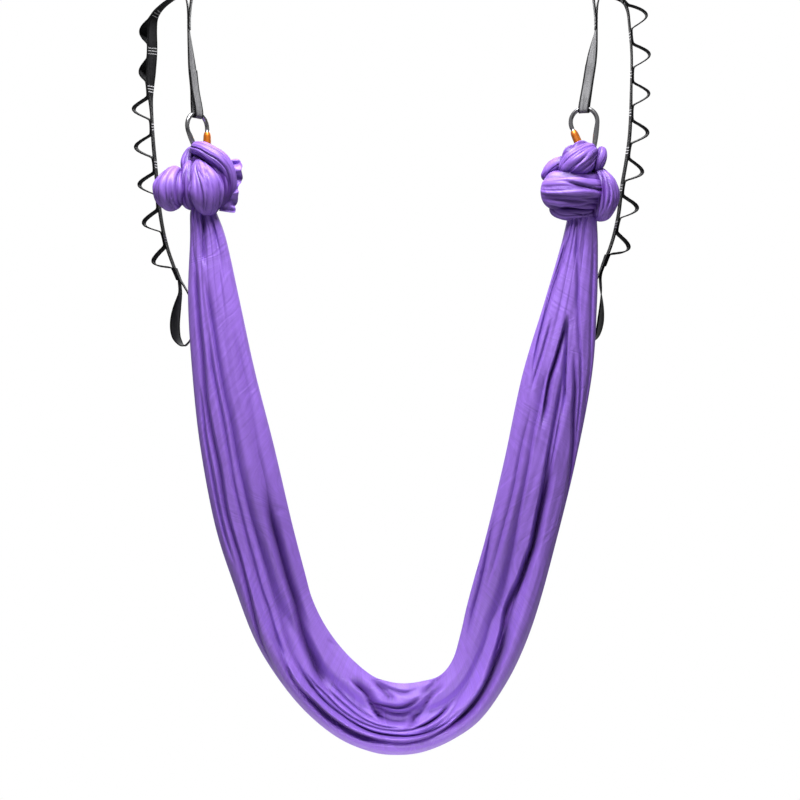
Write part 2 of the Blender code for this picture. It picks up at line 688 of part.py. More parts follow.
def eye_offset(height):
    """How far a leg of the lower eye stands off the strap's middle at a height above the bar."""
    closed = LOWER_EYE_LENGTH - RETURN_LEG
    return LAYER / 2 + (WRAP - LAYER / 2) * (1 - ease(height / closed))


def lower_eye(side, strap_up):
    """The sewn eye round the hammock carabiner, from its cut end to the foot of the strap."""
    across = Vector((math.cos(side.web_turn), math.sin(side.web_turn), 0))
    through = strap_up.cross(across).normalized()
    heights = [LOWER_EYE_LENGTH * share for share in EYE_HEIGHT_shares]
    points = []
    for height in heights:
        point = side.lower_bar + through * eye_offset(height) + strap_up * height
        points.append(with_turn(point, side.web_turn))
    for offset in half_turn(through * WRAP, -UP, BOW_SEAT)[1:-1]:
        points.append(with_turn(side.lower_bar + offset, side.web_turn))
    for height in reversed(heights):
        point = side.lower_bar - through * eye_offset(height) + strap_up * height
        points.append(with_turn(point, side.web_turn))
    return points


def near_bar(side, out, rise, turn):
    """A point by its place beside the ceiling carabiner's bar: outwards, and up."""
    return with_turn(side.upper_bar + side.outward * out + UP * rise, turn)


def tail_points(side, table):
    """A table of the free tail in pixels, as points in the model."""
    scale = TAIL_DROP / TAIL_DROP_PIXELS
    bar_x = LEFT_BAR_PIXEL_X if side is LEFT else RIGHT_BAR_PIXEL_X
    points = []
    for x, y, depth, turn in table:
        place = Vector((x - bar_x, depth, BAR_PIXEL_Y - y)) * scale
        points.append(with_turn(side.upper_bar + place, math.radians(turn)))
    return points


def chain_meshes(side):
    """The backbone strip and the pocket strip of one daisy chain."""
    upright = math.radians(90) * side.outward.x
    top = near_bar(side, LAYER / 2, -TOP_POCKET_DROP, upright)
    foot = near_bar(side, LAYER / 2, -TOP_POCKET_DROP - TACK_LENGTH, upright)
    strap_up = (foot.xyz - side.lower_bar).normalized()
    eye = lower_eye(side, strap_up)
    taut = [eye[-1].lerp(foot, share) for share in STRAP_shares]
    turn_out = [
        near_bar(side, WRAP * out_share, -TOP_POCKET_DROP * rise_share, upright)
        for out_share, rise_share in JUNCTION_shares
    ]
    is_left = side is LEFT
    tail = tail_points(side, LEFT_TAIL_PIXELS if is_left else RIGHT_TAIL_PIXELS)
    route = Route(smooth_path([top, *turn_out, *tail], WEB_STEP / 6))
    near = [(point - turn_out[-1]).xyz.length for point in route.points]
    tack_start = route.lengths[near.index(min(near))]
    tack_end = tack_start + side.first_tack
    total = route.lengths[-1]
    chord = POCKET_PITCH - TACK_LENGTH
    pockets = [tack_end + POCKET_PITCH * number for number in range(POCKETS)]

    tacked_face = side.outward * -1
    across = Vector((0, side.outward.x, 0))
    backbone = [bare_station(point) for point in [*eye, *taut]]
    backbone += [(point.xyz, across, tacked_face) for point in (foot, top)]
    backbone += [route.station(tack_start * share) for share in TURN_OUT_shares]
    first_tack = [
        tack_start + side.first_tack * i / TACK_STEPS for i in range(TACK_STEPS + 1)
    ]
    lengths = list(first_tack)
    for begin in pockets:
        lengths += [begin + chord * share for share in POCKET_BACK_shares]
        lengths.append(begin + POCKET_PITCH)
    leg = [*lengths[-2:], total]
    backbone += [route.station(length) for length in [*lengths, total]]
    table = tail_points(side, LEFT_EYE_PIXELS if is_left else RIGHT_EYE_PIXELS)
    home = with_turn(route.station(total, -LAYER)[0], route.points[-1].w)
    bend = smooth_path([route.points[-1], *table, home], WEB_STEP)
    backbone += [bare_station(point) for point in bend[1:-1]]
    for length in reversed(leg):
        centre, width, face = route.station(length, -LAYER)
        backbone.append((centre, width, -face))

    inner = near_bar(side, -LAYER / 2, -TOP_POCKET_DROP, upright)
    inner_foot = near_bar(side, -LAYER / 2, -TOP_POCKET_DROP - TACK_LENGTH, upright)
    strip = [(point.xyz, across, tacked_face) for point in (inner_foot, inner)]
    legs = []
    for out_share, rise_share in INNER_LEG_shares:
        legs.append(near_bar(side, WRAP * out_share, -TOP_POCKET_DROP * rise_share, upright))
    for offset in half_turn(side.outward * -WRAP, UP, BOW_SEAT):
        legs.append(with_turn(side.upper_bar + offset, upright))
    for out_share, rise_share in OUTER_LEG_shares:
        legs.append(near_bar(side, WRAP * out_share, -TOP_POCKET_DROP * rise_share, upright))
    strip += [bare_station(point) for point in legs]
    strip += [route.station(length, LAYER) for length in first_tack]
    for begin in pockets:
        for share in POCKET_BULGE_shares:
            bulge = POCKET_BULGE * math.sin(math.pi * share) ** BULGE_POWER
            strip.append(route.station(begin + chord * share, LAYER + bulge, False))
        strip.append(route.station(begin + chord, LAYER))
        strip.append(route.station(begin + POCKET_PITCH, LAYER))
    return (
        strip_mesh(side.name + "_chain_backbone", backbone),
        strip_mesh(side.name + "_chain_pockets", strip),
    )


def neck(side):
    """The middle of the cloth where it leaves the knot."""
    drop, aside = LEFT_NECK_DROP_share, LEFT_NECK_ASIDE_share
    if side is RIGHT:
        drop, aside = RIGHT_NECK_DROP_share, RIGHT_NECK_ASIDE_share
    place = side.narrow_bar - UP * (KNOT_SIZE * drop)
    return Vector((place.x + KNOT_SIZE * aside, 0, place.z))


def sling_point(pixel):
    """A point of the sling's outline, hung between the two necks."""
    x, y = pixel
    share = (x - LEFT_NECK_PIXEL[0]) / (RIGHT_NECK_PIXEL[0] - LEFT_NECK_PIXEL[0])
    line = LEFT_NECK_PIXEL[1] + (RIGHT_NECK_PIXEL[1] - LEFT_NECK_PIXEL[1]) * share
    middle = (LEFT_NECK_PIXEL[1] + RIGHT_NECK_PIXEL[1]) / 2
    drop = SLING_DROP * (y - line) / (SLING_LOW_PIXEL - middle)
    return neck(LEFT).lerp(neck(RIGHT), share) - UP * drop


def fold_section(outer, inner, along):
    """The folded outline across the gathered cloth, where along runs from 0 to 1."""
    number = 0
    while number < len(FOLD_KEYS) - 2 and FOLD_KEYS[number + 1][0] < along:
        number += 1
    low, high = FOLD_KEYS[number], FOLD_KEYS[number + 1]
    blend = ease((along - low[0]) / (high[0] - low[0]))
    half = (low[1] + (high[1] - low[1]) * blend) / 2
    ring = [outer.copy()]
    for towards, table in ((-1, 2), (1, 3)):
        for a, b in zip(low[table], high[table]):
            across_share = a[0] + (b[0] - a[0]) * blend
            depth_share = a[1] + (b[1] - a[1]) * blend
            ring.append(outer.lerp(inner, across_share) + BACK * (half * depth_share * towards))
        if towards == -1:
            ring.append(inner.copy())
    return ring


def sling_sections():
    """Rings across the cloth from the left neck to the right, halfway stations between the rows."""
    rows = []
    for outer, inner in SLING_PIXELS:
        rows.append((sling_point(outer), sling_point(inner)))
    count = len(rows)
    rings = []
    for i in range(count * 2 - 1):
        k, odd = divmod(i, 2)
        if odd:
            before, after = rows[max(k - 1, 0)], rows[min(k + 2, count - 1)]
            pair = []
            for edge in (0, 1):
                nearest = rows[k][edge] + rows[k + 1][edge]
                pair.append(nearest * 9 / 16 - (before[edge] + after[edge]) / 16)
        else:
            pair = rows[k]
        rings.append(fold_section(pair[0], pair[1], i / (count * 2 - 2)))
    return rings


def strand_mesh(name, points, sides=12):
    """A round strand of cloth along points of (x, y, z, radius), with rounded ends."""
    rings = []
    last = len(points) - 1
    across = None
    for i, point in enumerate(points):
        ahead = (points[min(i + 1, last)] - points[max(i - 1, 0)]).xyz.normalized()
        if across is None:
            across = ahead.orthogonal()
        across = (across - ahead * across.dot(ahead)).normalized()
        other = ahead.cross(across)
        ring = []
        for k in range(sides):
            turn = math.tau * k / sides
            ring.append(point.xyz + (across * math.cos(turn) + other * math.sin(turn)) * point.w)
        rings.append(ring)
    return loft(name, rings)


def knot_mesh(side, rings):
    """The knot: strands of cloth joined into one, with the neck that the sling hangs from."""
    scale = KNOT_SIZE / KNOT_SIZE_PIXELS
    table = LEFT_KNOT_PIXELS if side is LEFT else RIGHT_KNOT_PIXELS
    neck_pixel = LEFT_NECK_PIXEL if side is LEFT else RIGHT_NECK_PIXEL
    origin = neck(side)
    away = BAR_R + GAP + CLOTH_EYE_R
    backwards = side.through if side.through.y > 0 else -side.through
    meshes = []
    for number, strand in enumerate(table):
        points = []
        for entry in strand:
            if entry is None:
                for offset in half_turn(backwards * away, UP, away):
                    points.append(with_turn(side.narrow_bar + offset, CLOTH_EYE_R))
                continue
            x, y, depth, radius = entry
            place = Vector((x - neck_pixel[0], depth, neck_pixel[1] - y)) * scale
            points.append(with_turn(origin + place, radius * scale))
        smooth = smooth_path(points, STRAND_STEP)
        ends = []
        for tip, inward in ((smooth[0], smooth[1]), (smooth[-1], smooth[-2])):
            outwards = (tip - inward).xyz.normalized()
            cap = tip.xyz + outwards * (tip.w * STRAND_END_LENGTH_share)
            ends.append(with_turn(cap, tip.w * STRAND_END_WIDTH_share))
        smooth = [ends[0], *smooth, ends[1]]
        meshes.append(strand_mesh(f"{side.name}_strand_{number}", smooth))
    middle = sum(rings, Vector()) / len(rings)
    stub = []
    for rise_share, width_share in NECK_STUB_shares:
        lift = UP * (GAP + NECK_STUB * rise_share)
        stub.append([middle.lerp(point, width_share) + lift for point in rings])
    meshes.append(loft(side.name + "_neck", stub))
    base, *rest = meshes
    return combined(side.name + "_knot", base, [("UNION", mesh) for mesh in rest], True)


def main():
    clear_scene()
    steel = material("polished_steel", (0.62, 0.62, 0.63), 0.25, 1.0)
    spring_steel = material("spring_steel", (0.45, 0.45, 0.46), 0.35, 1.0)
    orange = material("orange_anodising", (0.72, 0.24, 0.03), 0.3, 0.6)
    webbing = material("black_webbing", (0.02, 0.02, 0.022), 0.7, 0.0)
    cloth = material("purple_cloth", (0.25, 0.09, 0.62), 0.6, 0.0)
    finishes = (steel, spring_steel, orange)
    meshes = carabiner_meshes()
    swing = bpy.data.objects.new("swing", None)
    bpy.context.scene.collection.objects.link(swing)
    swing.location = LEFT.swing_axis
    at_swing = Matrix.Translation(-LEFT.swing_axis)
    sections = sling_sections()
    for side in (LEFT, RIGHT):
        place = ceiling_place(side.anchor)
        place_carabiner(side.name + "_ceiling", meshes, finishes, place, None)
        place = at_swing @ side.place
        place_carabiner(side.name + "_hammock", meshes, finishes, place, swing)
        backbone, pockets = chain_meshes(side)
        add_object(side.name + "_chain_backbone", backbone, webbing, swing, at_swing)
        add_object(side.name + "_chain_pockets", pockets, webbing, swing, at_swing)
        neck_ring = sections[0] if side is LEFT else sections[-1]
        add_object(side.name + "_knot", knot_mesh(side, neck_ring), cloth, swing, at_swing)
    add_object("sling_cloth", loft("sling_cloth", sections), cloth, swing, at_swing)


if __name__ == "__main__":
    main()
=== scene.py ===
"""Aerial hammock: its cloth, knots, webbing and metal as they look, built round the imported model.

Metres, +Z up, +X to the viewer's right, +Y away from the viewer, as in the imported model.
"""

import math

import bmesh
import bpy
import numpy as np
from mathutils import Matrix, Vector


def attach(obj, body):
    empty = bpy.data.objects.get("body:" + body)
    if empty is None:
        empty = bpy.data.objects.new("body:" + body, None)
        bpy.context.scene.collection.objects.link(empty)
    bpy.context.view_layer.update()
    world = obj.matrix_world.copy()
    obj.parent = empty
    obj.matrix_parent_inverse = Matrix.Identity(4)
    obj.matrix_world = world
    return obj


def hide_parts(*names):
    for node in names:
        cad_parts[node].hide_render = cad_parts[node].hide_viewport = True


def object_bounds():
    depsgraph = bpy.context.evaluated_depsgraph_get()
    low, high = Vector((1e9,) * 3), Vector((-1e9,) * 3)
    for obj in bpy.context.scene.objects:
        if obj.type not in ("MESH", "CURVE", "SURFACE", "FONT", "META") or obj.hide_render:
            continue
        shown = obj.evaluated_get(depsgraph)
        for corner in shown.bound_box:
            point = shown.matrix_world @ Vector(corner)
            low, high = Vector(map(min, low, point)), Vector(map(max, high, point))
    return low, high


bl_info = {
    "name": "Aerial hammock",
    "version": (1, 0, 0),
    "blender": (4, 5, 0),
    "location": "3D View > Sidebar > Hammock",
    "description": "Dresses an aerial hammock in its cloth, webbing and metal",
    "category": "Object",
}

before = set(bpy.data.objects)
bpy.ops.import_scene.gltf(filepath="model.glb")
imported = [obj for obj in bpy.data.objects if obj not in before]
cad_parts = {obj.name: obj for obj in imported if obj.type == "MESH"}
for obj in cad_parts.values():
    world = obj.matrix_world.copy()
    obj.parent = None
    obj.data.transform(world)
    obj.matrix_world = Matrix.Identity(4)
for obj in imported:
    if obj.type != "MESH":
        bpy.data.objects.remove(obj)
CAD_BOX = [list(corner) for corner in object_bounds()]

# The photograph: how far one of its pixels reaches at the hammock's middle plane, how far away the
# camera stands, and the point of that plane at the picture's middle.
PIXEL = 0.0023
CAMERA_DISTANCE = 3.6
IMAGE_SIZE = 800
IMAGE_MIDDLE = IMAGE_SIZE / 2
VIEW_X = 0.4853
VIEW_Z = -1.0718

# Sling: the edge of the cloth on the outer side of the U and the edge across from it, in pixels.
SLING_PIXELS = (
    ((194, 201), (213, 201)), ((192, 207), (215, 207)), ((190, 214), (217, 214)),
    ((190, 240), (226, 240)), ((188, 300), (239, 300)), ((192, 370), (254, 370)),
    ((200, 445), (273, 445)), ((215, 525), (291, 522)), ((234, 585), (304, 572)),
    ((255, 640), (312, 600)), ((280, 681), (326, 628)), ((308, 714), (346, 654)),
    ((340, 739), (370, 675)), ((372, 752), (388, 682)), ((397, 755), (404, 684)),
    ((423, 752), (421, 682)), ((452, 740), (440, 676)), ((480, 720), (453, 660)),
    ((504, 687), (461, 634)), ((522, 652), (467, 608)), ((538, 608), (475, 578)),
    ((556, 542), (487, 535)), ((576, 460), (505, 460)), ((592, 375), (523, 375)),
    ((597, 305), (544, 305)), ((598, 250), (560, 250)), ((597, 221), (567, 221)),
    ((596, 213), (568, 213)), ((595, 205), (570, 205)),
)
# Half the cloth's depth along the sling, from the left knot to the right one, in metres.
SLING_HALF_DEPTHS = ((0, 0.026), (0.12, 0.031), (0.3, 0.036), (0.42, 0.058), (0.5, 0.074),
                     (0.58, 0.058), (0.7, 0.036), (0.88, 0.031), (1, 0.026))
# The seat's front, as shares of the way from its lower edge to its rim, and of its half depth.
SEAT_FRONT_SHARES = ((0, 0), (0.05, 0.72), (0.13, 0.98), (0.21, 0.96), (0.28, 0.62), (0.36, 0.58),
                     (0.46, 0.34), (0.56, 0.14), (0.66, 0.30), (0.76, 0.34), (0.88, 0.22), (1, 0))
# Creases in the front of the cloth, each from the left towards the right along the U: how deep it
# is in millimetres, how far its slopes reach on the outer and the inner side, how it fades at its
# two ends, and its points. Widths and points are in pixels.
CREASES = (
    # Left arm.
    (11, 6, 3, 0.1, 0,
     ((193.7, 250), (196.2, 269.7), (198.4, 304.5), (200.5, 329.4), (203.6, 360.5), (206.2, 395),
      (208.9, 414), (214.5, 442.6), (220.9, 473), (226.2, 508), (232.8, 533.5), (240, 557.5),
      (248, 588), (254, 613), (261, 640), (270, 660), (281, 680))),
    (9, 3, 5, 0, 0.25, ((202.6, 212), (203.4, 229), (203.2, 242), (203.4, 267))),
    (6, 4, 3, 0.15, 0,
     ((205, 317), (208, 329), (211.4, 360.5), (217.2, 392), (223.3, 422), (228.9, 454),
      (234.4, 485.7), (240.5, 511.2), (246.8, 536.7), (253.8, 562.2), (261.8, 591), (267.5, 606),
      (274, 628), (281.5, 651.4), (291.5, 676))),
    (8, 3, 8, 0.12, 0,
     ((203.6, 267), (205.5, 284.6), (208.9, 304.5), (213, 329.4), (217.9, 360.5), (224.2, 395),
      (230.5, 422), (236.8, 457), (244, 489), (251.2, 517.6), (258.4, 543), (265.5, 567),
      (273.6, 595), (281, 617), (288, 643), (299.8, 669.6), (313, 687.8))),
    (7, 3, 3, 0.2, 0.2,
     ((197, 380), (201.7, 400), (205.7, 438), (212, 473), (219.3, 511), (226.5, 540), (236, 570))),
    (3, 12, 5, 0.3, 0.1,
     ((229, 300), (236, 340), (248, 390), (252, 414), (257.6, 450.6), (264.7, 479.3),
      (271.1, 517.6), (279.1, 549.5))),
    (18, 7, 10, 0.3, 0.15,
     ((264.7, 479.3), (271.1, 517.6), (279.1, 549.5), (287, 578), (295, 602), (300, 624),
      (305.5, 642), (311.4, 656), (318, 673), (324.6, 684.5), (333, 697))),
    (4, 3, 3, 0.2, 0.2, ((193, 222), (192.5, 237), (193.4, 252), (195.6, 270))),
    (4, 4, 8, 0, 0.4, ((211, 214), (216, 236), (222, 262), (227, 290))),
    # The long valley above the front lip, from the left arm round to the right one.
    (13, 13, 2.6, 0.28, 0.3,
     ((270, 612), (276, 636), (283, 658), (291.5, 677), (304.7, 693), (316.3, 704), (328, 715),
      (342.9, 725.5), (357.8, 733.6), (376, 739.3), (396, 742), (412.5, 741.4), (429, 737),
      (445.7, 728.5), (462.3, 715), (473.9, 702), (482.2, 690), (490.5, 674), (497, 657),
      (502, 645), (507, 620))),
    (13, 8, 2.6, 0.3, 0.3,
     ((300, 688), (316.3, 704), (328, 715), (342.9, 725.5), (357.8, 733.6), (376, 739.3),
      (390, 741.5))),
    (17, 10, 2.6, 0.35, 0.25,
     ((429, 737), (445.7, 728.5), (462.3, 715), (473.9, 702), (482.2, 690), (490.5, 674),
      (497, 657), (502, 645), (507, 620))),
    # The thin pleats that meet towards the right.
    (11, 3, 2.2, 0.15, 0.2,
     ((299.8, 668), (313, 687.8), (323, 698.6), (332.9, 707.5), (342.9, 715), (356, 724),
      (372.7, 732), (392.6, 735.6), (412.5, 736), (430.8, 731.5), (447.4, 722.5), (459, 712))),
    (9, 2.6, 2, 0.15, 0.15,
     ((306, 672), (313, 682), (326.3, 695), (339.6, 708.4), (356, 719.6), (376, 727.6),
      (392.6, 730.4), (409, 730), (425.8, 724.4), (439, 716), (449, 705))),
    (8, 2.4, 2, 0.15, 0.2,
     ((327, 687), (334, 695), (345, 705), (361, 717.5), (377, 725), (391, 727.6), (405.9, 728))),
    (6, 2.2, 2.2, 0.2, 0.2, ((330, 680), (338, 690), (350, 702), (366, 714), (381, 722.5))),
    # Folds of the pocket.
    (17, 3.2, 10, 0.3, 0.15,
     ((349, 677), (358, 686.5), (366, 694), (371.5, 704), (377, 713), (382, 722))),
    (13, 3.2, 8, 0.35, 0.2, ((371, 677.9), (378, 685), (384, 691), (389, 697), (393, 703))),
    (15, 5, 3, 0.25, 0.25,
     ((364, 700), (374, 703.2), (386, 705.4), (399, 707), (408, 704.4), (416, 699.8), (424, 694))),
    (13, 5, 3, 0.25, 0.25,
     ((371, 705), (384, 709.4), (397, 712.4), (409, 711), (417, 706), (421, 700))),
    (9, 6, 10, 0.35, 0.35, ((379, 715), (387, 719), (396, 721), (405, 720), (412, 716))),
    (14, 3, 8, 0.3, 0.3,
     ((399, 726), (409, 728.5), (416, 716), (424, 706), (434, 692.8), (447, 682.9))),
    (13, 4, 3, 0.3, 0.3,
     ((413, 728), (425, 724.6), (434, 719), (442, 712.6), (447.4, 705), (449, 699))),
    (6, 2.6, 3, 0.3, 0.3,
     ((412.5, 734), (423, 732), (433, 727.6), (445.7, 717.7), (455.6, 704.4), (462, 689.5))),
    (9, 4, 5, 0.3, 0.4, ((420, 698), (424, 694), (432, 685), (439, 678), (446, 671))),
    (7, 5, 3, 0.4, 0.4,
     ((376, 683), (384, 686), (394, 690), (404, 692), (412, 690.5), (419, 687))),
    # Right arm, from the seat up to the knot.
    (17, 9, 5, 0.25, 0.2,
     ((479, 693), (486.5, 678), (495, 656), (502, 634), (506, 612), (512, 596), (520, 580),
      (527, 560), (533, 545), (539, 514.4), (546, 485.7), (552, 446))),
    (9, 3, 4, 0.3, 0.1,
     ((492, 690), (498, 668), (504.2, 640), (510.6, 613), (518.6, 589), (525, 570), (531.3, 549.5),
      (537.7, 517.6), (543.7, 485.7), (550.5, 446), (556.5, 414), (560.6, 390), (563, 372))),
    (4, 3, 3, 0.3, 0.2,
     ((529, 568.6), (534.5, 543), (541.5, 514.4), (549.4, 473), (556.4, 438), (562.6, 400))),
    (5, 3, 10, 0.3, 0.1,
     ((470.6, 673), (483.8, 648), (490.5, 623), (497.8, 610), (504.2, 590), (509, 568.6),
      (513.8, 546.3), (518.6, 517.6), (523.4, 493.7), (529.7, 458.6), (534.5, 430), (539.3, 409),
      (544, 385), (550, 362))),
    (8, 6, 3, 0.3, 0.3,
     ((498, 506), (491, 532), (486, 560), (480, 586), (473, 611), (468, 632), (464, 648))),
    (4, 5, 5, 0.3, 0.3,
     ((480, 604), (486.7, 586), (494.7, 562), (504.2, 525.6), (513.8, 489), (521.8, 446),
      (529.7, 414), (534, 385))),
    (13, 4, 3.5, 0.15, 0.25,
     ((548, 570), (556.9, 541.5), (562.5, 517.6), (567.5, 493.7), (570.8, 469.7), (573, 446),
      (573.6, 414), (575, 392), (574.4, 366.7), (574.5, 342))),
    (5, 2.4, 2.4, 0.2, 0.2, ((575, 470), (577, 430), (580, 400), (581, 366), (580.4, 330))),
    (4, 2.6, 3, 0.2, 0.2,
     ((580, 460), (583, 430), (586, 400), (590.4, 366), (591, 330), (592, 292), (593.3, 255),
      (592, 222))),
    (15, 7, 1.6, 0.25, 0.2,
     ((541, 430), (545.3, 398), (549, 378), (554.2, 362), (559, 345.5), (564, 328), (568, 314))),
    (11, 1.4, 6, 0.3, 0.25,
     ((562, 420), (565, 398), (566.2, 366.7), (567, 348), (567.6, 329.4), (568.2, 314))),
    (8, 2.6, 3, 0.3, 0.15,
     ((531.5, 385), (536, 352), (541, 330), (546.4, 311), (551.5, 292), (556.6, 277), (561.8, 261),
      (567, 243.6), (571, 232))),
    (5, 2.2, 2.2, 0.3, 0.2,
     ((541, 330), (548, 297), (553, 281), (558.5, 264.7), (564.2, 247), (568, 238))),
    (4, 2, 2, 0.3, 0.3, ((548, 312), (554.8, 287), (559.7, 272), (565.8, 257), (569.5, 246))),
    (5, 2.6, 4, 0.25, 0,
     ((579.6, 372), (579.4, 341.8), (578.4, 317), (578.2, 279.6), (577.2, 254.8), (577, 218))),
    (4, 3, 3, 0.25, 0.25, ((531, 392), (537, 370), (542.3, 354), (547.5, 335), (552.3, 317))),
    # Crinkles at the edge.
    (3, 2, 2.4, 0.4, 0.3, ((274, 510), (278, 509), (285.5, 508))),
    (2.4, 2, 2, 0.4, 0.3, ((284, 550), (288, 549), (295, 549))),
    (3.4, 2.4, 2, 0.4, 0.3, ((325, 639), (331, 642), (337, 645))),
    (2.6, 2, 2, 0.4, 0.3, ((489, 511), (494, 510), (500, 508))),
    (2.6, 2, 2, 0.4, 0.3, ((478, 574), (483, 572), (489, 571))),
    (4, 2.4, 2.4, 0.4, 0.4, ((464, 646), (467.5, 652), (470.6, 657))),
)
# How many steps each point of a crease's line gives it, and how hollow the crease's slopes are.
CREASE_STEPS = 3
CREASE_HOLLOW = 1.7
# How soon the creases reach their depth from the cloth's two edges.
CREASE_RISE = 1.5
# Rows of the cloth's mesh along the sling, and its points across the front, the back and inside.
SLING_ROWS = 320
FRONT_POINTS = 150
BACK_POINTS = 72
INNER_FOLDS = 44
# Over how many rows to each side the half depths are evened out.
DEPTH_ROWS = 12
# The seat's half length and how soon it sets in, as shares of the sling's length.
SEAT_REACH = 0.27
SEAT_FADE = 0.14
# How square the sections of the front and the back are, and how far from its edges the front's
# points start, as a share of a half turn.
FRONT_SQUARENESS = 2.6
BACK_SQUARENESS = 2.4
FRONT_START = 0.06
# Tables of smooth waves have rows of (height, seed, waves along, waves across).
FRONT_WAVES = ((0.0016, 11, 5, 7), (0.0007, 12, 16, 13))
BACK_WAVES = ((0.0014, 22, 6, 8),)
# The gathers under each knot: their reach as a share of the sling's length, their number, how they
# wander, how sharp their valleys are, and their depth in metres.
NECK_REACH = 0.05
NECK_FOLDS = 7
NECK_WANDER = ((3.5, 5, 2, 1),)
NECK_SHARPNESS = 0.7
NECK_DEPTH = 0.008
# Folds down the back: where each lies across it, as a share, and its depth in millimetres. Then how
# far each reaches, strays and drifts, how hollow it is, how it comes and goes along the sling, and
# how much deeper it is at the seat.
BACK_FOLDS = ((0.13, 12), (0.25, 7), (0.36, 14), (0.47, 9), (0.59, 13), (0.7, 8), (0.82, 12),
              (0.91, 6))
BACK_REACH = 0.055
BACK_STRAY = 0.02
BACK_DRIFT = ((0.10, 21, 1.5, 0.6),)
BACK_HOLLOW = 1.6
BACK_FADE = 0.45
BACK_FADE_TURNS = 1.3
BACK_FADE_STEP = 1.7
BACK_SEAT = 0.8
# How deep a fold is where its painted shade is darkest, in metres, and how soon the painted
# shade sets in: the lower, the darker the shallow folds.
FOLD_SHADE_DEPTH = 0.026
FOLD_SHADE_SPREAD = 0.75
# How far the front keeps from the back and the hidden folds from both, in metres, and the shares
# across the sling at which the hidden folds start and end.
CLOTH_ROOM = 0.010
FOLD_ROOM = 0.004
FOLD_SHARES = (0.07, 0.93)
# The hem round the inner edge: places across the sling, as shares, and depths in metres.
HEM = ((1.006, 0.0), (1.010, 0.003), (1.006, 0.007), (0.995, 0.012))

# Knots: strands of (x, y, depth, radius) in pixels, with how many creases run along each and how
# deep the deepest is, as a share of the radius.
LEFT_KNOT = (
    (34, 0.16,
     ((181, 172, 2, 7), (174, 178, -6, 13), (171, 188, -9, 18), (172, 198, -6, 15.5),
      (179, 206, 2, 8))),
    (24, 0.14, ((163, 182, 3, 6), (160.5, 189, 0, 8), (163, 197, 3, 8.5), (170, 203, 6, 8))),
    (24, 0.16,
     ((191, 160, -1, 4), (188.5, 171, -7, 7), (187.5, 184, -11, 9), (189.5, 198, -9, 9.5),
      (195, 210, -4, 6))),
    (40, 0.17,
     ((199, 157, -9, 3), (200, 164, -11, 8), (203, 174, -12, 14.5), (206.5, 186, -13, 19),
      (207.5, 197, -11, 18.5), (206, 207, -6, 13.5), (204, 215, -2, 9))),
    (22, 0.14,
     ((198, 156, 8, 5), (197, 149, 0, 7), (199.5, 148.5, -9, 7.5), (204, 150, -13, 8.5),
      (211, 154.5, -14, 9.5), (220, 161, -14, 9.5), (227, 171, -11, 8.5), (229, 185, -6, 8),
      (224, 198, -3, 9))),
    (18, 0.16,
     ((197, 149, 9, 4), (191.5, 152, 9, 6), (188.5, 161, 6, 7.5), (189, 172, 2, 8),
      (193, 186, 2, 11))),
    (26, 0.17,
     ((207, 160, -6, 5), (214, 167, -8, 9.5), (221, 179, -8, 10.5), (222, 192, -6, 10.5),
      (216, 206, -3, 8))),
    (16, 0.16, ((194, 158, -4, 4), (198, 160, -7, 5), (203, 164, -9, 6), (209, 169, -9, 5))),
    (16, 0.12, ((216, 178, 8, 12), (203, 186, 10, 16), (188, 190, 9, 14), (176, 190, 6, 10))),
)
RIGHT_KNOT = (
    (40, 0.17,
     ((606, 193, 2, 11), (596, 192, -6, 17), (580, 191, -11, 20.5), (565, 190, -11, 20.5),
      (552, 190, -8, 18), (543, 189, -3, 13))),
    (18, 0.14,
     ((590, 172, 5, 6), (589, 160, 4, 6.5), (586, 149, 1, 6.5), (580, 148.5, -9, 7.5),
      (575, 156, -12, 9))),
    (34, 0.18,
     ((596, 150, -6, 6), (588, 154, -12, 12), (579, 161, -15, 16.5), (571, 168, -12, 14),
      (565, 176, -6, 8))),
    (16, 0.18,
     ((575.5, 149, -8, 4.5), (572, 152, -10.5, 7.5), (569.5, 159, -10.5, 8.5), (568, 167, -9, 7))),
    (14, 0.2, ((543, 180, 0, 4.5), (550, 170, -2, 6.5), (558, 165, -4, 8), (568, 163, -4, 8))),
    (20, 0.18,
     ((551, 203, -2, 7.5), (560, 209, -5, 9.5), (572, 212, -6, 9.5), (585, 212, -5, 9),
      (594, 208, -3, 8))),
    (14, 0.18,
     ((596, 172, -8, 5), (598, 164, -12, 6.5), (601, 157, -13, 6), (602, 151, -11, 5),
      (603, 148, -8, 3))),
    (34, 0.2,
     ((595, 166, -8, 4), (600, 175, -9, 8.5), (604, 186, -11, 13), (606, 198, -11, 13.5),
      (603, 210, -8, 11), (597, 221, -3, 6))),
    (16, 0.12, ((566, 186, 8, 12), (584, 190, 10, 15), (600, 196, 9, 11))),
    (16, 0.12, ((584, 166, 4, 8), (592, 178, 3, 10), (597, 190, 2, 10))),
)
# Points round a strand, and for each drawn point of its line its rings and the places from which
# the other strands measure.
STRAND_POINTS = 132
STRAND_STEPS = 14
NEIGHBOUR_STEPS = 8
# The ranges that a strand's creases are drawn from: how far each strays from its even place, drifts
# and sways round the strand and how often it sways, the width of its gentle slope in radians and
# the steep slope's share of that, its start and length along the strand, and its depth.
CREASE_STRAY = (-0.35, 0.35)
CREASE_DRIFT = (-0.5, 0.5)
CREASE_SWAY = (0.02, 0.12)
CREASE_SWAYS = (0.5, 1.6)
CREASE_SLOPE = (0.16, 0.42)
CREASE_STEEP = (0.15, 0.4)
CREASE_START = (-0.3, 0.45)
CREASE_LENGTH = (0.4, 1.1)
CREASE_SHARE = (0.3, 1)
# How soon a strand's crease fades at its ends, how hollow it is, and how deep it may be at most.
CREASE_FADE = 0.2
STRAND_HOLLOW = 1.5
STRAND_DEEPEST = 0.3
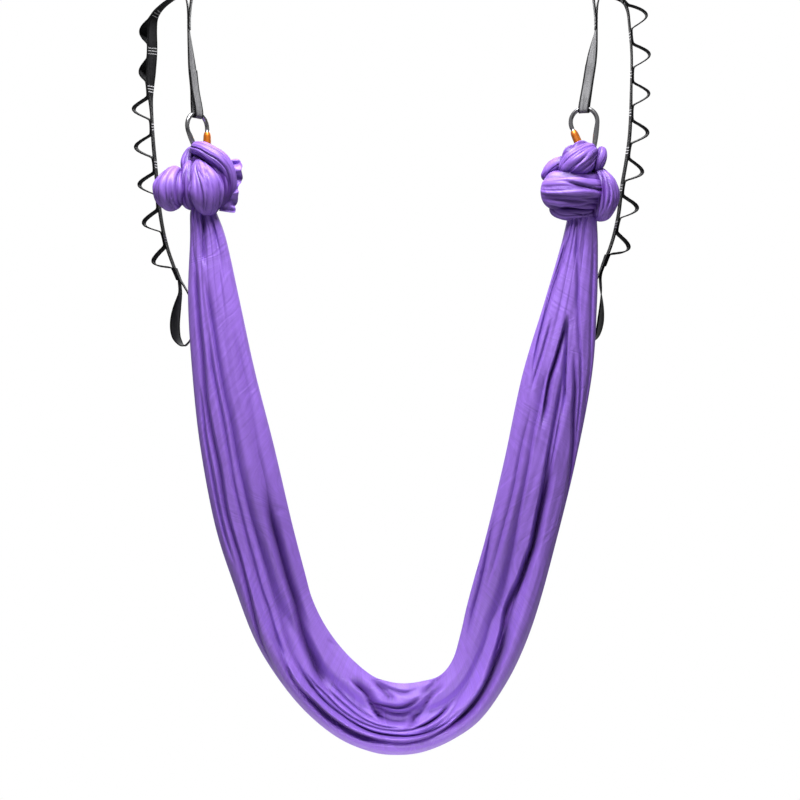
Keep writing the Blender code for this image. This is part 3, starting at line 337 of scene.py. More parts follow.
# How much and how often a strand swells, and the share of it over which each end is rounded.
STRAND_SWELL = 0.035
STRAND_SWELLS = 1.7
STRAND_TIP = 0.16
# How far from the next strand the painted shade of a crevice starts, in metres.
CREVICE_SHADE_REACH = 0.011
# How much of the darkest painted shade a strand's creases, its crevices and its underside get.
CREASE_SHADE = 0.8
CREVICE_SHADE = 0.9
UNDERSIDE_SHADE = 0.35
# The loose edge of the cloth beside the left knot: its inner and outer sides, its depth, how much
# deeper its outer side lies, its half thickness, all in pixels, and the share of its crinkles that
# is in its depth, in its height and in its painted shade.
FRILL_INNER = ((224, 161), (220, 173), (222, 184), (222, 195), (221, 204), (219, 211))
FRILL_OUTER = ((237, 158), (242.5, 167), (241, 181), (238.5, 191), (237, 202), (234.5, 213))
FRILL_DEPTH = -6
FRILL_LEAN = 3
FRILL_HALF_THICKNESS = 0.35
FRILL_IN_DEPTH = 1.5
FRILL_IN_HEIGHT = 0.6
FRILL_IN_SHADE = 0.3
FRILL_ROWS = 90
FRILL_POINTS = 34

# Webbing: its width in metres, and where its edges start to darken and are darkest, from its
# middle; the lighter middle is a painted sheen.
WEB_WIDTH = 0.025
WEB_EDGE = (0.0068, 0.0104)
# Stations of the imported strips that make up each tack, counted from the strip's low end.
POCKETS = 7
STATIONS_PER_POCKET = 11
FIRST_TACK_STATIONS = 7
# Where the stripes of stitches cross a tack, as shares of its length, and how much of the webbing's
# width each one has.
STRIPE_SHARES = (0.22, 0.5, 0.78)
STRIPE_WIDTH = 0.8
# How much a stitch may lean, in radians.
STITCH_LEAN = 0.22
# About how far apart the rows of the webbing's mesh lie, in metres.
WEB_STEP = 0.004
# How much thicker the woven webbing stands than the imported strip.
WEB_FULLNESS = 1.4
# Over how many rows a pocket's bow is rounded, how much further out it then stands, and how far off
# its backbone that starts and over what further distance it sets in, in metres.
BOW_ROWS = 9
BOW_REACH = 1.12
BOW_START = 0.004
BOW_FADE = 0.012
# The webbing's rounded section: (share of the half width, share of the half thickness).
WEB_SECTION = (
    (-1, 0), (-0.975, 0.7), (-0.9, 1), (-0.6, 0.94), (0, 0.9), (0.6, 0.94), (0.9, 1), (0.975, 0.7),
    (1, 0), (0.975, -0.7), (0.9, -1), (0.6, -0.94), (0, -0.9), (-0.6, -0.94), (-0.9, -1),
    (-0.975, -0.7),
)
# The hammock's middle, how far to either side of it the taut straps reach, and over what distance
# the slack webbing beyond them sets in, in metres.
STRAP_MIDDLE_X = (CAD_BOX[0][0] + CAD_BOX[1][0]) / 2
STRAP_REACH = 0.475
STRAP_FADE = 0.03
# Below which height the slack part of a chain turns towards the front, over what height, in metres,
# and by how many degrees.
SLACK_TOP = -0.3
SLACK_FADE = 0.2
SLACK_TURN = 9

# Metal: the setting that holds each finish's colour, its rubbed colour, its roughness and how
# metallic it is.
METALS = {
    "bright_steel": ("steel_colour", (0.4, 0.4, 0.41), 0.2, 1),
    "coil_steel": ("spring_colour", (0.3, 0.3, 0.3), 0.3, 1),
    "orange_anodised": ("sleeve_colour", (0.5, 0.3, 0.2), 0.28, 0.75),
}
# How often a metal piece is subdivided. Then angles in degrees: the least that keeps an edge sharp
# in its form and in its shading, and the most at which its triangles are joined.
METAL_LEVELS = 2
SHARP_FORM = 40
SHARP_SHADING = 50
JOINED_FACES = 30
JOINED_SHAPES = 60

# Stage: the camera's sensor in millimetres, the floor's size in metres, and the lamps. Each lamp
# has its place, the height at which it aims at the hammock's middle, its size in metres and the
# spread of its light in degrees.
SENSOR = 36
FLOOR_SIZE = 40
LAMPS = {
    "key": ((0.25, -1.05, 1.4), VIEW_Z, 1.2, 180),
    "fill": ((0.45, -1.25, -2.15), -2.0, 0.4, 45),
    "back": ((0.6, 2.6, 0.9), VIEW_Z, 2.0, 180),
}
WHITE = (1, 1, 1, 1)
GREY = (0.5, 0.5, 0.5, 1)
# What each shader group puts out, and the shader's socket that it feeds.
LOOKS = (("Colour", "Color", "Base Color"), ("Roughness", "Float", "Roughness"),
         ("Normal", "Vector", "Normal"))

SIDES = ("left", "right")
ENDS = ("ceiling", "hammock")


def colour_setting(name, told, default):
    """A colour that the user may change, as the next four are for other kinds of value."""
    return bpy.props.FloatVectorProperty(name=name, description=told, default=default,
                                         subtype="COLOR", size=3, min=0, max=1)


def length_setting(name, told, default, low, high, precision=4):
    return bpy.props.FloatProperty(name=name, description=told, default=default, min=low, max=high,
                                   unit="LENGTH", precision=precision)


def power_setting(name, told, default):
    return bpy.props.FloatProperty(name=name, description=told, default=default, min=0,
                                   unit="POWER")


def factor_setting(name, told, default, high, subtype="FACTOR"):
    return bpy.props.FloatProperty(name=name, description=told, default=default, min=0, max=high,
                                   subtype=subtype)


def seed_setting(told, default):
    return bpy.props.IntProperty(name="Seed", description=told, default=default, min=0)


class HAMMOCK_PG_cloth(bpy.types.PropertyGroup):
    """The purple cloth of the sling and its knots."""

    colour: colour_setting("Colour", "Colour of the cloth", (0.276, 0.133, 0.625))
    # Painted shade: the colour that the cloth is mixed towards in its folds, crevices and
    # undersides.
    painted_fold_shade: colour_setting("Fold shade", "Painted shade of the cloth in its folds, crevices and undersides",
                                (0.078, 0.014, 0.235))
    cut_width: length_setting("Cut width", "Width of the sheet before it is gathered",
                              2.8, 1, 4, 2)
    cut_length: length_setting(
        "Cut length", "Length of the sheet from knot to knot, with the knots' cloth", 2.95, 1, 6, 2)
    crease_depth: factor_setting("Crease depth", "How deep the folds are, against the drawn ones",
                                 1.5, 3)
    rib_spacing: length_setting("Rib spacing", "From one rib of the knit to the next",
                                0.0009, 0.0003, 0.01)
    seed: seed_setting("Chooses the small creases", 31)


class HAMMOCK_PG_webbing(bpy.types.PropertyGroup):
    """The daisy chains and their sewn tacks."""

    colour: colour_setting("Colour", "Colour of the webbing's middle", (0.016, 0.016, 0.0175))
    # Painted sheen: the pale middle of the taut straps between the carabiners.
    painted_sheen_colour: colour_setting("Rubbed colour", "Painted sheen of the taut straps between the carabiners",
                                  (0.2, 0.2, 0.207))
    edge_colour: colour_setting("Edge colour", "Colour of the webbing's edges",
                                (0.004, 0.004, 0.0045))
    thread_colour: colour_setting("Thread colour", "Colour of the stitching", (0.42, 0.42, 0.43))
    rib_spacing: length_setting("Rib spacing", "From one rib of the weave to the next",
                                0.0016, 0.0005, 0.01)
    stitch_spacing: length_setting("Stitch spacing", "From one stitch of a tack to the next",
                                   0.00115, 0.0005, 0.01)
    stitch_length: length_setting("Stitch length", "How far a stitch reaches along the webbing",
                                  0.0032, 0.001, 0.01)
    thread_width: length_setting("Thread width", "Width of the thread", 0.0009, 0.0002, 0.003)
    seed: seed_setting("Chooses how the stitches lean", 4)


class HAMMOCK_PG_metal(bpy.types.PropertyGroup):
    """The carabiners."""

    steel_colour: colour_setting("Steel", "Colour of the polished bar", (0.27, 0.27, 0.28))
    spring_colour: colour_setting("Spring", "Colour of the springs", (0.4, 0.4, 0.41))
    sleeve_colour: colour_setting("Sleeve", "Colour of the screw sleeves", (0.72, 0.2, 0.02))
    wear: factor_setting("Wear", "How scuffed the metal is", 0.35, 1)


class HAMMOCK_PG_stage(bpy.types.PropertyGroup):
    """The lamps and the floor."""

    key_power: power_setting("Key", "Power of the lamp above the front", 156)
    fill_power: power_setting("Fill", "Power of the low lamp in front of the seat", 1.3)
    back_power: power_setting("Back", "Power of the lamp behind", 40)
    sky: factor_setting("Sky", "Strength of the light from all round", 0.05, 2, "NONE")
    shine: factor_setting("Shine", "Brightness of the room where something glossy shows it",
                          0.4, 2, "NONE")
    floor_drop: length_setting("Floor drop", "How far the floor lies under the sling",
                               0.6, 0, 10, 2)


def place(x, y, depth):
    """The points of space seen at pixels of the photograph, at depths behind the middle plane."""
    reach = PIXEL * (1 + depth / CAMERA_DISTANCE)
    return np.stack([VIEW_X + (x - IMAGE_MIDDLE) * reach, depth,
                     VIEW_Z - (y - IMAGE_MIDDLE) * reach], axis=-1)


def curve_at(values, at):
    """Rows of numbers between the given ones, on a smooth curve. at counts from 0 to the last."""
    values = np.asarray(values, dtype=float)
    padded = np.vstack([2 * values[:1] - values[1:2], values, 2 * values[-1:] - values[-2:-1]])
    at = np.clip(np.asarray(at, dtype=float), 0, len(values) - 1 - 1e-9)
    k = at.astype(int)
    t = (at - k).reshape((-1,) + (1,) * (values.ndim - 1))
    a, b, c, d = (padded[k + i] for i in range(4))
    return 0.5 * (2 * b + (c - a) * t + (2 * a - 5 * b + 4 * c - d) * t**2
                  + (3 * b - a - 3 * c + d) * t**3)


def gone(points):
    """How far along a line of points each of them lies."""
    return np.concatenate([[0], np.cumsum(np.linalg.norm(np.diff(points, axis=0), axis=1))])


def evenly(values, count):
    """count rows on a smooth curve through the given ones, an equal step apart."""
    fine = curve_at(values, np.linspace(0, len(values) - 1, 40 * len(values)))
    flat = fine.reshape(len(fine), -1)
    reached = gone(flat)
    wanted = np.linspace(0, reached[-1], count)
    columns = [np.interp(wanted, reached, column) for column in flat.T]
    return np.stack(columns, axis=1).reshape((count,) + fine.shape[1:])


def ease(t):
    """0 up to 0, 1 from 1 on, and a smooth rise between them."""
    t = np.clip(t, 0, 1)
    return t * t * (3 - 2 * t)


def unit(vectors):
    """Those vectors, each made one long."""
    return vectors / np.linalg.norm(vectors, axis=1)[:, None]


def waves(seed, rows, columns, along, across, count=14):
    """A smooth random field from -1 to 1, of about so many waves along the rows and across."""
    chance = np.random.default_rng(seed)
    u = np.linspace(0, 1, rows)[:, None]
    v = np.linspace(0, 1, columns)[None, :]
    field = np.zeros((rows, columns))
    for _ in range(count):
        turn = chance.uniform(0, math.tau)
        field += np.sin(math.tau * (u * chance.uniform(0.3, 1) * along * chance.choice((-1, 1))
                                    + v * chance.uniform(0.4, 1) * across) + turn)
    return field / math.sqrt(count / 2) / 2


def waved(depths, table, inside=1):
    """Those depths with a table of smooth waves added, as far as each point lies inside."""
    for height, seed, along, across in table:
        depths = depths + height * waves(seed, *depths.shape, along, across) * inside
    return depths


def between(start, end, shares):
    """x and y at those shares of the way between each pair of pixels."""
    return [start[:, None, axis] * (1 - shares) + end[:, None, axis] * shares for axis in (0, 1)]


def lengths_along(points, axis):
    """How far each point of a grid lies along one of its axes, in metres."""
    steps = np.linalg.norm(np.diff(points, axis=axis), axis=2)
    reached = np.cumsum(steps, axis=axis)
    first = np.zeros_like(np.take(reached, [0], axis=axis))
    return np.concatenate([first, reached], axis=axis)


def grid_mesh(name, points, uv, closed=False, fold=None):
    """A mesh over a grid of points. A closed one is joined round its columns and capped.

    Its last argument gives each point's painted shade, from 0 for none to 1 for the darkest.
    """
    rows, columns = points.shape[:2]
    mesh = bpy.data.meshes.new(name)
    around = columns if closed else columns - 1
    first = np.arange(rows - 1)[:, None] * columns
    a = (first + np.arange(around)[None, :]).ravel()
    b = (first + (np.arange(around)[None, :] + 1) % columns).ravel()
    faces = np.stack([a, b, b + columns, a + columns], axis=1).tolist()
    if closed:
        faces.append(list(range(columns))[::-1])
        faces.append(list(range((rows - 1) * columns, rows * columns)))
    mesh.from_pydata(points.reshape(-1, 3).tolist(), [], faces)
    layer = mesh.uv_layers.new(name="cloth")
    corners = np.zeros(len(mesh.loops), dtype=np.int64)
    mesh.loops.foreach_get("vertex_index", corners)
    layer.data.foreach_set("uv", uv.reshape(-1, 2)[corners].astype(np.float32).ravel())
    # Each point's painted shade, which the cloth's material mixes in.
    depths = mesh.attributes.new("fold", "FLOAT", "POINT")
    if fold is not None:
        depths.data.foreach_set("value", np.clip(fold, 0, 1).astype(np.float32).ravel())
    mesh.shade_smooth()
    return mesh


def joined_mesh(name, parts):
    """One mesh of several, with their faces turned outwards."""
    whole = bmesh.new()
    for part in parts:
        whole.from_mesh(part)
        bpy.data.meshes.remove(part)
    bmesh.ops.recalc_face_normals(whole, faces=whole.faces)
    mesh = bpy.data.meshes.new(name)
    whole.to_mesh(mesh)
    whole.free()
    mesh.shade_smooth()
    return mesh


def added(name, data):
    """A new object in the scene."""
    made = bpy.data.objects.new(name, data)
    bpy.context.scene.collection.objects.link(made)
    return made


def link(name, mesh, finish):
    """A new object in the scene with one material."""
    mesh.materials.clear()
    mesh.materials.append(finish)
    return added(name, mesh)


def dress(piece, body, slot, *nodes):
    """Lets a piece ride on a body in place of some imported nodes."""
    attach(piece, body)
    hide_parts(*nodes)


def flatten(piece):
    """Applies a piece's modifiers."""
    graph = bpy.context.evaluated_depsgraph_get()
    made = bpy.data.meshes.new_from_object(piece.evaluated_get(graph))
    piece.modifiers.clear()
    old = piece.data
    piece.data = made
    made.name = old.name
    bpy.data.meshes.remove(old)


class Tree:
    """A short way to place nodes and join them."""

    def __init__(self, tree):
        self.tree = tree

    def node(self, kind, settings=None, **inputs):
        """A node with its settings, and its inputs by name: a value, or a socket to join."""
        made = self.tree.nodes.new(kind)
        for name, value in (settings or {}).items():
            setattr(made, name, value)
        for name, value in inputs.items():
            self.feed(made.inputs[name.replace("_", " ")], value)
        return made

    def feed(self, target, value):
        """Joins a socket to the target, or sets the target to a value."""
        if isinstance(value, bpy.types.NodeSocket):
            self.tree.links.new(value, target)
        else:
            target.default_value = value

    def fed(self, kind, settings, inputs, output):
        """The output of a node with its inputs by number."""
        made = self.node(kind, settings)
        for i, value in inputs.items():
            self.feed(made.inputs[i], value)
        return made.outputs[output]

    def maths(self, operation, *values):
        return self.fed("ShaderNodeMath", {"operation": operation}, dict(enumerate(values)), 0)

    def mixed(self, share, a, b):
        """The colour that lies that share of the way from one to the other."""
        return self.fed("ShaderNodeMix", {"data_type": "RGBA"}, {0: share, 6: a, 7: b}, 2)

    def risen(self, value, low, high):
        """0 up to low, 1 from high on, and a smooth rise between them."""
        made = self.node("ShaderNodeMapRange", {"interpolation_type": "SMOOTHSTEP"}, Value=value,
                         From_Min=low, From_Max=high)
        return made.outputs["Result"]


def new_group(name, kind, inputs, outputs):
    """A node group with sockets of (name, kind) or (name, kind, default), as the helper for it."""
    group = bpy.data.node_groups.new(name, kind)
    for way, sockets in (("INPUT", inputs), ("OUTPUT", outputs)):
        for label, form, *default in sockets:
            made = group.interface.new_socket(name=label, in_out=way,
                                              socket_type="NodeSocket" + form)
            if default:
                made.default_value = default[0]
    return Tree(group)


def fibre_group():
    """Ribs, long streaks and mottling of anything knitted, woven or spun, with painted shade in the
    low parts of the ribs and streaks.
    """
    found = bpy.data.node_groups.get("fibre_look")
    if found:
        return found
    t = new_group("fibre_look", "ShaderNodeTree", (
        ("Place", "Vector"), ("Colour", "Color", GREY), ("Rib spacing", "Float", 0.001),
        ("Rib depth", "Float", 0.0001), ("Streak spacing", "Float", 0.006),
        ("Streak depth", "Float", 0.0003), ("Variation", "Float", 0.2),
    ), [look[:2] for look in LOOKS])
    rib_lean, rib_steps, streak_stretch, rib_change, rib_middle = 1.2, 0.4, 0.05, 0.12, -0.1
    least_rough, streak_rough = 0.4, 0.25
    given = t.node("NodeGroupInput").outputs
    part = t.node("ShaderNodeSeparateXYZ", Vector=given["Place"]).outputs
    turn = t.maths("DIVIDE", math.tau, given["Rib spacing"])
    across = t.maths("SINE", t.maths("MULTIPLY", part["X"], turn))
    slope = t.maths("MULTIPLY_ADD", across, rib_lean, t.maths("MULTIPLY", part["Y"], turn))
    rib = t.maths("MULTIPLY_ADD", t.maths("SINE", slope), rib_steps, t.maths("ABSOLUTE", across))
    long_way = t.node("ShaderNodeCombineXYZ", X=part["X"],
                      Y=t.maths("MULTIPLY", part["Y"], streak_stretch))
    streak = t.node("ShaderNodeTexNoise", {"noise_dimensions": "2D"}, Vector=long_way.outputs[0],
                    Scale=t.maths("DIVIDE", 1, given["Streak spacing"]), Detail=1, Roughness=0.6,
                    Distortion=0.3).outputs["Fac"]
    mottle = t.node("ShaderNodeTexNoise", Vector=given["Place"], Scale=26, Detail=4,
                    Roughness=0.6).outputs["Fac"]
    height = t.maths("MULTIPLY_ADD", rib, given["Rib depth"],
                     t.maths("MULTIPLY", streak, given["Streak depth"]))
    bump = t.node("ShaderNodeBump", Strength=1, Distance=1, Height=height)
    # Painted shade: the colour is darker where the ribs and streaks that the bump makes lie low and
    # lighter where they stand high; the mottling is an uneven tone.
    change = t.maths("ADD", t.maths("MULTIPLY_ADD", rib, rib_change, rib_middle),
                     t.maths("ADD", t.maths("SUBTRACT", streak, 0.5),
                             t.maths("SUBTRACT", mottle, 0.5)))
    dimmed = t.node("ShaderNodeVectorMath", {"operation": "SCALE"}, Vector=given["Colour"],
                    Scale=t.maths("MULTIPLY_ADD", change, given["Variation"], 1))
    t.node("NodeGroupOutput", Colour=dimmed.outputs[0], Normal=bump.outputs["Normal"],
           Roughness=t.maths("MULTIPLY_ADD", streak, streak_rough, least_rough))
    return t.tree


def metal_group():
    """Fine scratches and rubbed patches of worn metal."""
    found = bpy.data.node_groups.get("worn_metal")
    if found:
        return found
    t = new_group("worn_metal", "ShaderNodeTree", (
        ("Place", "Vector"), ("Colour", "Color", GREY),
        ("Rubbed colour", "Color", (0.8, 0.8, 0.8, 1)), ("Wear", "Float", 0.3),
        ("Polish", "Float", 0.2),
    ), [look[:2] for look in LOOKS])
    scratch_stretch, scratch_depth = (1, 1, 0.08), 0.000002
    patch_start, patch_end, patch_rough, scratch_rough = 0.52, 0.72, 0.35, 0.1
    given = t.node("NodeGroupInput").outputs
    patch = t.node("ShaderNodeTexNoise", Vector=given["Place"], Scale=160, Detail=5, Roughness=0.65)
    long_way = t.fed("ShaderNodeVectorMath", {"operation": "MULTIPLY"},
                     {0: given["Place"], 1: scratch_stretch}, 0)
    scratch = t.node("ShaderNodeTexNoise", Vector=long_way, Scale=2600, Detail=2,
                     Roughness=0.5).outputs["Fac"]
    amount = t.maths("MULTIPLY", t.risen(patch.outputs["Fac"], patch_start, patch_end),
                     given["Wear"])
    rough = t.maths("MULTIPLY_ADD", amount, patch_rough, given["Polish"])
    bump = t.node("ShaderNodeBump", Strength=0.6, Distance=1,
                  Height=t.maths("MULTIPLY", scratch, scratch_depth))
    t.node("NodeGroupOutput", Colour=t.mixed(amount, given["Colour"], given["Rubbed colour"]),
           Roughness=t.maths("MULTIPLY_ADD", scratch, scratch_rough, rough),
           Normal=bump.outputs["Normal"])
    return t.tree


def new_material(name, **constants):
    """A material, the helper for its nodes, and its shader with constants on its own sockets."""
    made = bpy.data.materials.new(name)
    made.use_nodes = True
    shader = made.node_tree.nodes["Principled BSDF"]
    for label, value in constants.items():
        shader.inputs[label.replace("_", " ")].default_value = value
    return made, Tree(made.node_tree), shader


def grouped(t, shader, group, **inputs):
    """Places a group that feeds the shader's colour, roughness and normal."""
    made = t.node("ShaderNodeGroup", {"node_tree": group}, **inputs)
    for output, _, target in LOOKS:
        t.feed(shader.inputs[target], made.outputs[output])


def tricot():
    """The cloth's shiny knit, with painted shade in its folds, crevices and undersides."""
    found = bpy.data.materials.get("purple_tricot")
    if found:
        return found
    cloth = bpy.context.scene.hammock_cloth
    made, t, shader = new_material("purple_tricot", Specular_IOR_Level=0.6, Sheen_Weight=0.12,
                                   Sheen_Roughness=0.5, Sheen_Tint=(0.7, 0.55, 1, 1))
    uv = t.node("ShaderNodeUVMap", {"uv_map": "cloth"})
    # The mesh's painted shade mixes the cloth's colour towards its painted fold shade.
    fold = t.node("ShaderNodeAttribute", {"attribute_name": "fold"})
    tone = t.mixed(fold.outputs["Fac"], (*cloth.colour, 1), (*cloth.painted_fold_shade, 1))
    grouped(t, shader, fibre_group(), Place=uv.outputs["UV"], Colour=tone,
            Rib_spacing=cloth.rib_spacing, Rib_depth=0.000015, Streak_spacing=0.009,
            Streak_depth=0.0009, Variation=0.34)
    return made


def nylon():
    """The webbing's weave, dark at its edges, with a painted sheen in its middle, pale on taut
    straps.
    """
    found = bpy.data.materials.get("black_nylon")
    if found:
        return found
    webbing = bpy.context.scene.hammock_webbing
    made, t, shader = new_material("black_nylon", Specular_IOR_Level=0.08)
    uv = t.node("ShaderNodeUVMap", {"uv_map": "cloth"})
    part = t.node("ShaderNodeSeparateXYZ", Vector=uv.outputs["UV"])
    # Painted sheen: the middle is lighter than the dark edges.
    edge = t.risen(t.maths("ABSOLUTE", part.outputs["X"]), *WEB_EDGE)
    spot = t.node("ShaderNodeSeparateXYZ", Vector=t.node("ShaderNodeTexCoord").outputs["Object"])
    aside = t.maths("ABSOLUTE", t.maths("SUBTRACT", spot.outputs["X"], STRAP_MIDDLE_X))
    tail = t.risen(aside, STRAP_REACH, STRAP_REACH + STRAP_FADE)
    # Painted sheen: pale in the middle of the taut straps, gone on the slack webbing beyond them.
    middle = t.mixed(tail, (*webbing.painted_sheen_colour, 1), (*webbing.colour, 1))
    grouped(t, shader, fibre_group(), Place=uv.outputs["UV"],
            Colour=t.mixed(edge, middle, (*webbing.edge_colour, 1)),
            Rib_spacing=webbing.rib_spacing, Rib_depth=0.00022, Streak_spacing=0.003,
            Streak_depth=0.0002, Variation=0.9)
    return made


def thread():
    """The stitches' pale spun thread."""
    webbing = bpy.context.scene.hammock_webbing
    made, t, shader = new_material("grey_thread", Specular_IOR_Level=0.3)
    grouped(t, shader, fibre_group(), Place=t.node("ShaderNodeTexCoord").outputs["Object"],
            Colour=(*webbing.thread_colour, 1), Rib_spacing=0.0004, Rib_depth=0.00003,
            Streak_spacing=0.002, Streak_depth=0.00005, Variation=0.5)
    return made


def metal(name):
    """One of the metal finishes."""
    settings = bpy.context.scene.hammock_metal
    setting, rubbed, polish, metallic = METALS[name]
    made, t, shader = new_material(name, Metallic=metallic)
    grouped(t, shader, metal_group(), Place=t.node("ShaderNodeTexCoord").outputs["Object"],
            Colour=(*getattr(settings, setting), 1), Rubbed_colour=(*rubbed, 1),
            Wear=settings.wear, Polish=polish)
    return made


def crease_field(x, y, factor):
    """How far back each point of the cloth's front lies for its creases, in metres."""
    total = np.zeros_like(x)
    for depth, outer, inner, fade_in, fade_out, points in CREASES:
        line = evenly(points, max(2 * CREASE_STEPS, CREASE_STEPS * len(points)))
        reach = max(outer, inner)
        near = ((x > line[:, 0].min() - reach) & (x < line[:, 0].max() + reach)
                & (y > line[:, 1].min() - reach) & (y < line[:, 1].max() + reach))
        px, py = x[near], y[near]
        best = np.full(px.shape, np.inf)
        side = np.zeros(px.shape)
        where = np.zeros(px.shape)
        last = len(line) - 1
        for i in range(last):
            (ax, ay), (bx, by) = line[i], line[i + 1]
            dx, dy = bx - ax, by - ay
            t = np.clip(((px - ax) * dx + (py - ay) * dy) / (dx * dx + dy * dy), 0, 1)
            gap = np.hypot(px - ax - dx * t, py - ay - dy * t)
            nearer = gap < best
            best[nearer] = gap[nearer]
            side[nearer] = (dx * (py - ay) - dy * (px - ax))[nearer]
            where[nearer] = ((i + t) / last)[nearer]
        width = np.where(side > 0, outer, inner)
        strength = np.clip(1 - best / width, 0, 1) ** CREASE_HOLLOW
        if fade_in:
            strength = strength * ease(where / fade_in)
        if fade_out:
            strength = strength * ease((1 - where) / fade_out)
        total[near] += strength * depth / 1000 * factor
    return total


def bulge(shares, squareness):
    """How far a rounded section stands out at those shares of the way across it, from 0 to 1."""
    return np.clip(1 - np.abs(2 * shares - 1) ** squareness, 0, 1)[None, :] ** 0.5


def sling_front(edges, along, half, seat, factor):
    """Places across the front as shares, its depths and how far its creases are sunk."""
    s = FRONT_START + (1 - 2 * FRONT_START) * np.linspace(0, 1, FRONT_POINTS)
    s = 0.5 - 0.5 * np.cos(np.pi * s) / math.cos(math.pi * FRONT_START)
    inside = bulge(s, FRONT_SQUARENESS)
    keys = np.array(SEAT_FRONT_SHARES)
    pocket = curve_at(keys[:, 1:], np.interp(s, keys[:, 0], np.arange(len(keys))))[:, 0]
    shape = inside * (1 - seat) + pocket[None, :] * seat
    sunk = crease_field(*between(edges[:, 0], edges[:, 1], s), factor)
    sunk = sunk * np.clip(inside * CREASE_RISE, 0, 1)
    front = sunk - half * shape
    knot_near = np.exp(-np.minimum(along, 1 - along) / NECK_REACH)
    wander = waved(np.zeros_like(front), NECK_WANDER)
    neck = np.abs(np.sin(math.pi * NECK_FOLDS * s[None, :] + wander)) ** NECK_SHARPNESS
    front = front - NECK_DEPTH * knot_near * (neck - 0.5) * inside
    return s, waved(front, FRONT_WAVES, inside), sunk


def sling_back(along, half, seat):
    """Places across the back as shares, its depths and how far its folds are sunk."""
    b = 0.5 - 0.5 * np.cos(np.pi * np.linspace(1, 0, BACK_POINTS))
    inside = bulge(b, BACK_SQUARENESS)
    drift = waved(np.zeros((SLING_ROWS, BACK_POINTS)), BACK_DRIFT)
    sunk = np.zeros_like(drift)
    for number, (spot, depth) in enumerate(BACK_FOLDS):
        gap = np.abs(b[None, :] + drift - spot - BACK_STRAY * math.sin(number))
        strength = np.clip(1 - gap / BACK_REACH, 0, 1) ** BACK_HOLLOW
        turn = along * math.tau * BACK_FADE_TURNS + number * BACK_FADE_STEP
        fade = 1 - BACK_FADE + BACK_FADE * np.sin(turn)
        sunk += strength * fade * depth / 1000 * (1 + BACK_SEAT * seat) * inside
    return b, waved(half * inside - sunk, BACK_WAVES, inside), sunk


def hidden_folds(s, front, b, back):
    """Places across the sling as shares, and depths, of the cloth folded to and fro inside it."""
    tips = np.linspace(*FOLD_SHARES, INNER_FOLDS)
    hidden = np.zeros((SLING_ROWS, INNER_FOLDS))
    for row, (fore, aft) in enumerate(zip(front, back)):
        deepest = np.maximum(fore, np.maximum(np.roll(fore, 2), np.roll(fore, -2)))
        near = np.interp(tips, s, deepest) + FOLD_ROOM
        far = np.maximum(np.interp(tips, b[::-1], aft[::-1]) - FOLD_ROOM, near)
        hidden[row] = np.where(np.arange(INNER_FOLDS) % 2, near, far)
    return tips, hidden


def sling_surface(factor):
    """Points of the gathered sheet, row by row from left knot to right, its UVs and its painted
    shade.
    """
    edges = evenly(np.array(SLING_PIXELS, dtype=float), SLING_ROWS)
    along = np.linspace(0, 1, SLING_ROWS)
    keys = np.array(SLING_HALF_DEPTHS)
    half = np.pad(np.interp(along, keys[:, 0], keys[:, 1]), DEPTH_ROWS, mode="edge")
    window = np.full(2 * DEPTH_ROWS + 1, 1 / (2 * DEPTH_ROWS + 1))
    half = np.convolve(half, window, mode="valid")[:, None]
    seat = ease((SEAT_REACH - np.abs(along - 0.5)) / SEAT_FADE)[:, None]
    s, front, sunk = sling_front(edges, along[:, None], half, seat, factor)
    b, back, back_sunk = sling_back(along[:, None], half, seat)
    limit = np.stack([np.interp(s, b[::-1], row[::-1]) for row in back])
    front = np.minimum(front, limit - CLOTH_ROOM * bulge(s, FRONT_SQUARENESS))
    tips, hidden = hidden_folds(s, front, b, back)
    hem = np.array(HEM)
    # Painted shade: full on the hidden folds, darker the deeper a crease of the back or the front
    # is sunk, and none on the hem.
    fold = np.concatenate([
        np.full(hidden.shape, 1.0), (back_sunk / FOLD_SHADE_DEPTH) ** FOLD_SHADE_SPREAD,
        (np.maximum(sunk, 0) / FOLD_SHADE_DEPTH) ** FOLD_SHADE_SPREAD, np.zeros((SLING_ROWS, len(hem))),
    ], axis=1)

    shares = np.concatenate([tips, b, s, hem[:, 0]])
    depths = np.concatenate([hidden, back, front, np.tile(hem[:, 1], (SLING_ROWS, 1))], axis=1)
    points = place(*between(edges[:, 0], edges[:, 1], shares), depths)
    u = gone(points[:, INNER_FOLDS + BACK_POINTS:].mean(axis=1))
    uv = np.stack(np.broadcast_arrays(lengths_along(points, 1), u[:, None]), axis=2)
    return points, uv, fold


def strand_line(points, steps):
    """The middles of a strand and its radii, in metres, with so many steps for each point."""
    line = evenly(np.array(points, dtype=float), steps * len(points))
    return place(line[:, 0], line[:, 1], line[:, 2] * PIXEL), line[:, 3] * PIXEL


def closeness(points, others):
    """How near each point lies to the knot's other strands, from 1 where they meet to 0."""
    gap = np.full(points.shape[:2], 1.0)
    for strand in others:
        for centre, radius in zip(*strand_line(strand, NEIGHBOUR_STEPS)):
            gap = np.minimum(gap, np.linalg.norm(points - centre, axis=2) - radius)
    return np.clip(1 - gap / CREVICE_SHADE_REACH, 0, 1) ** 1.5


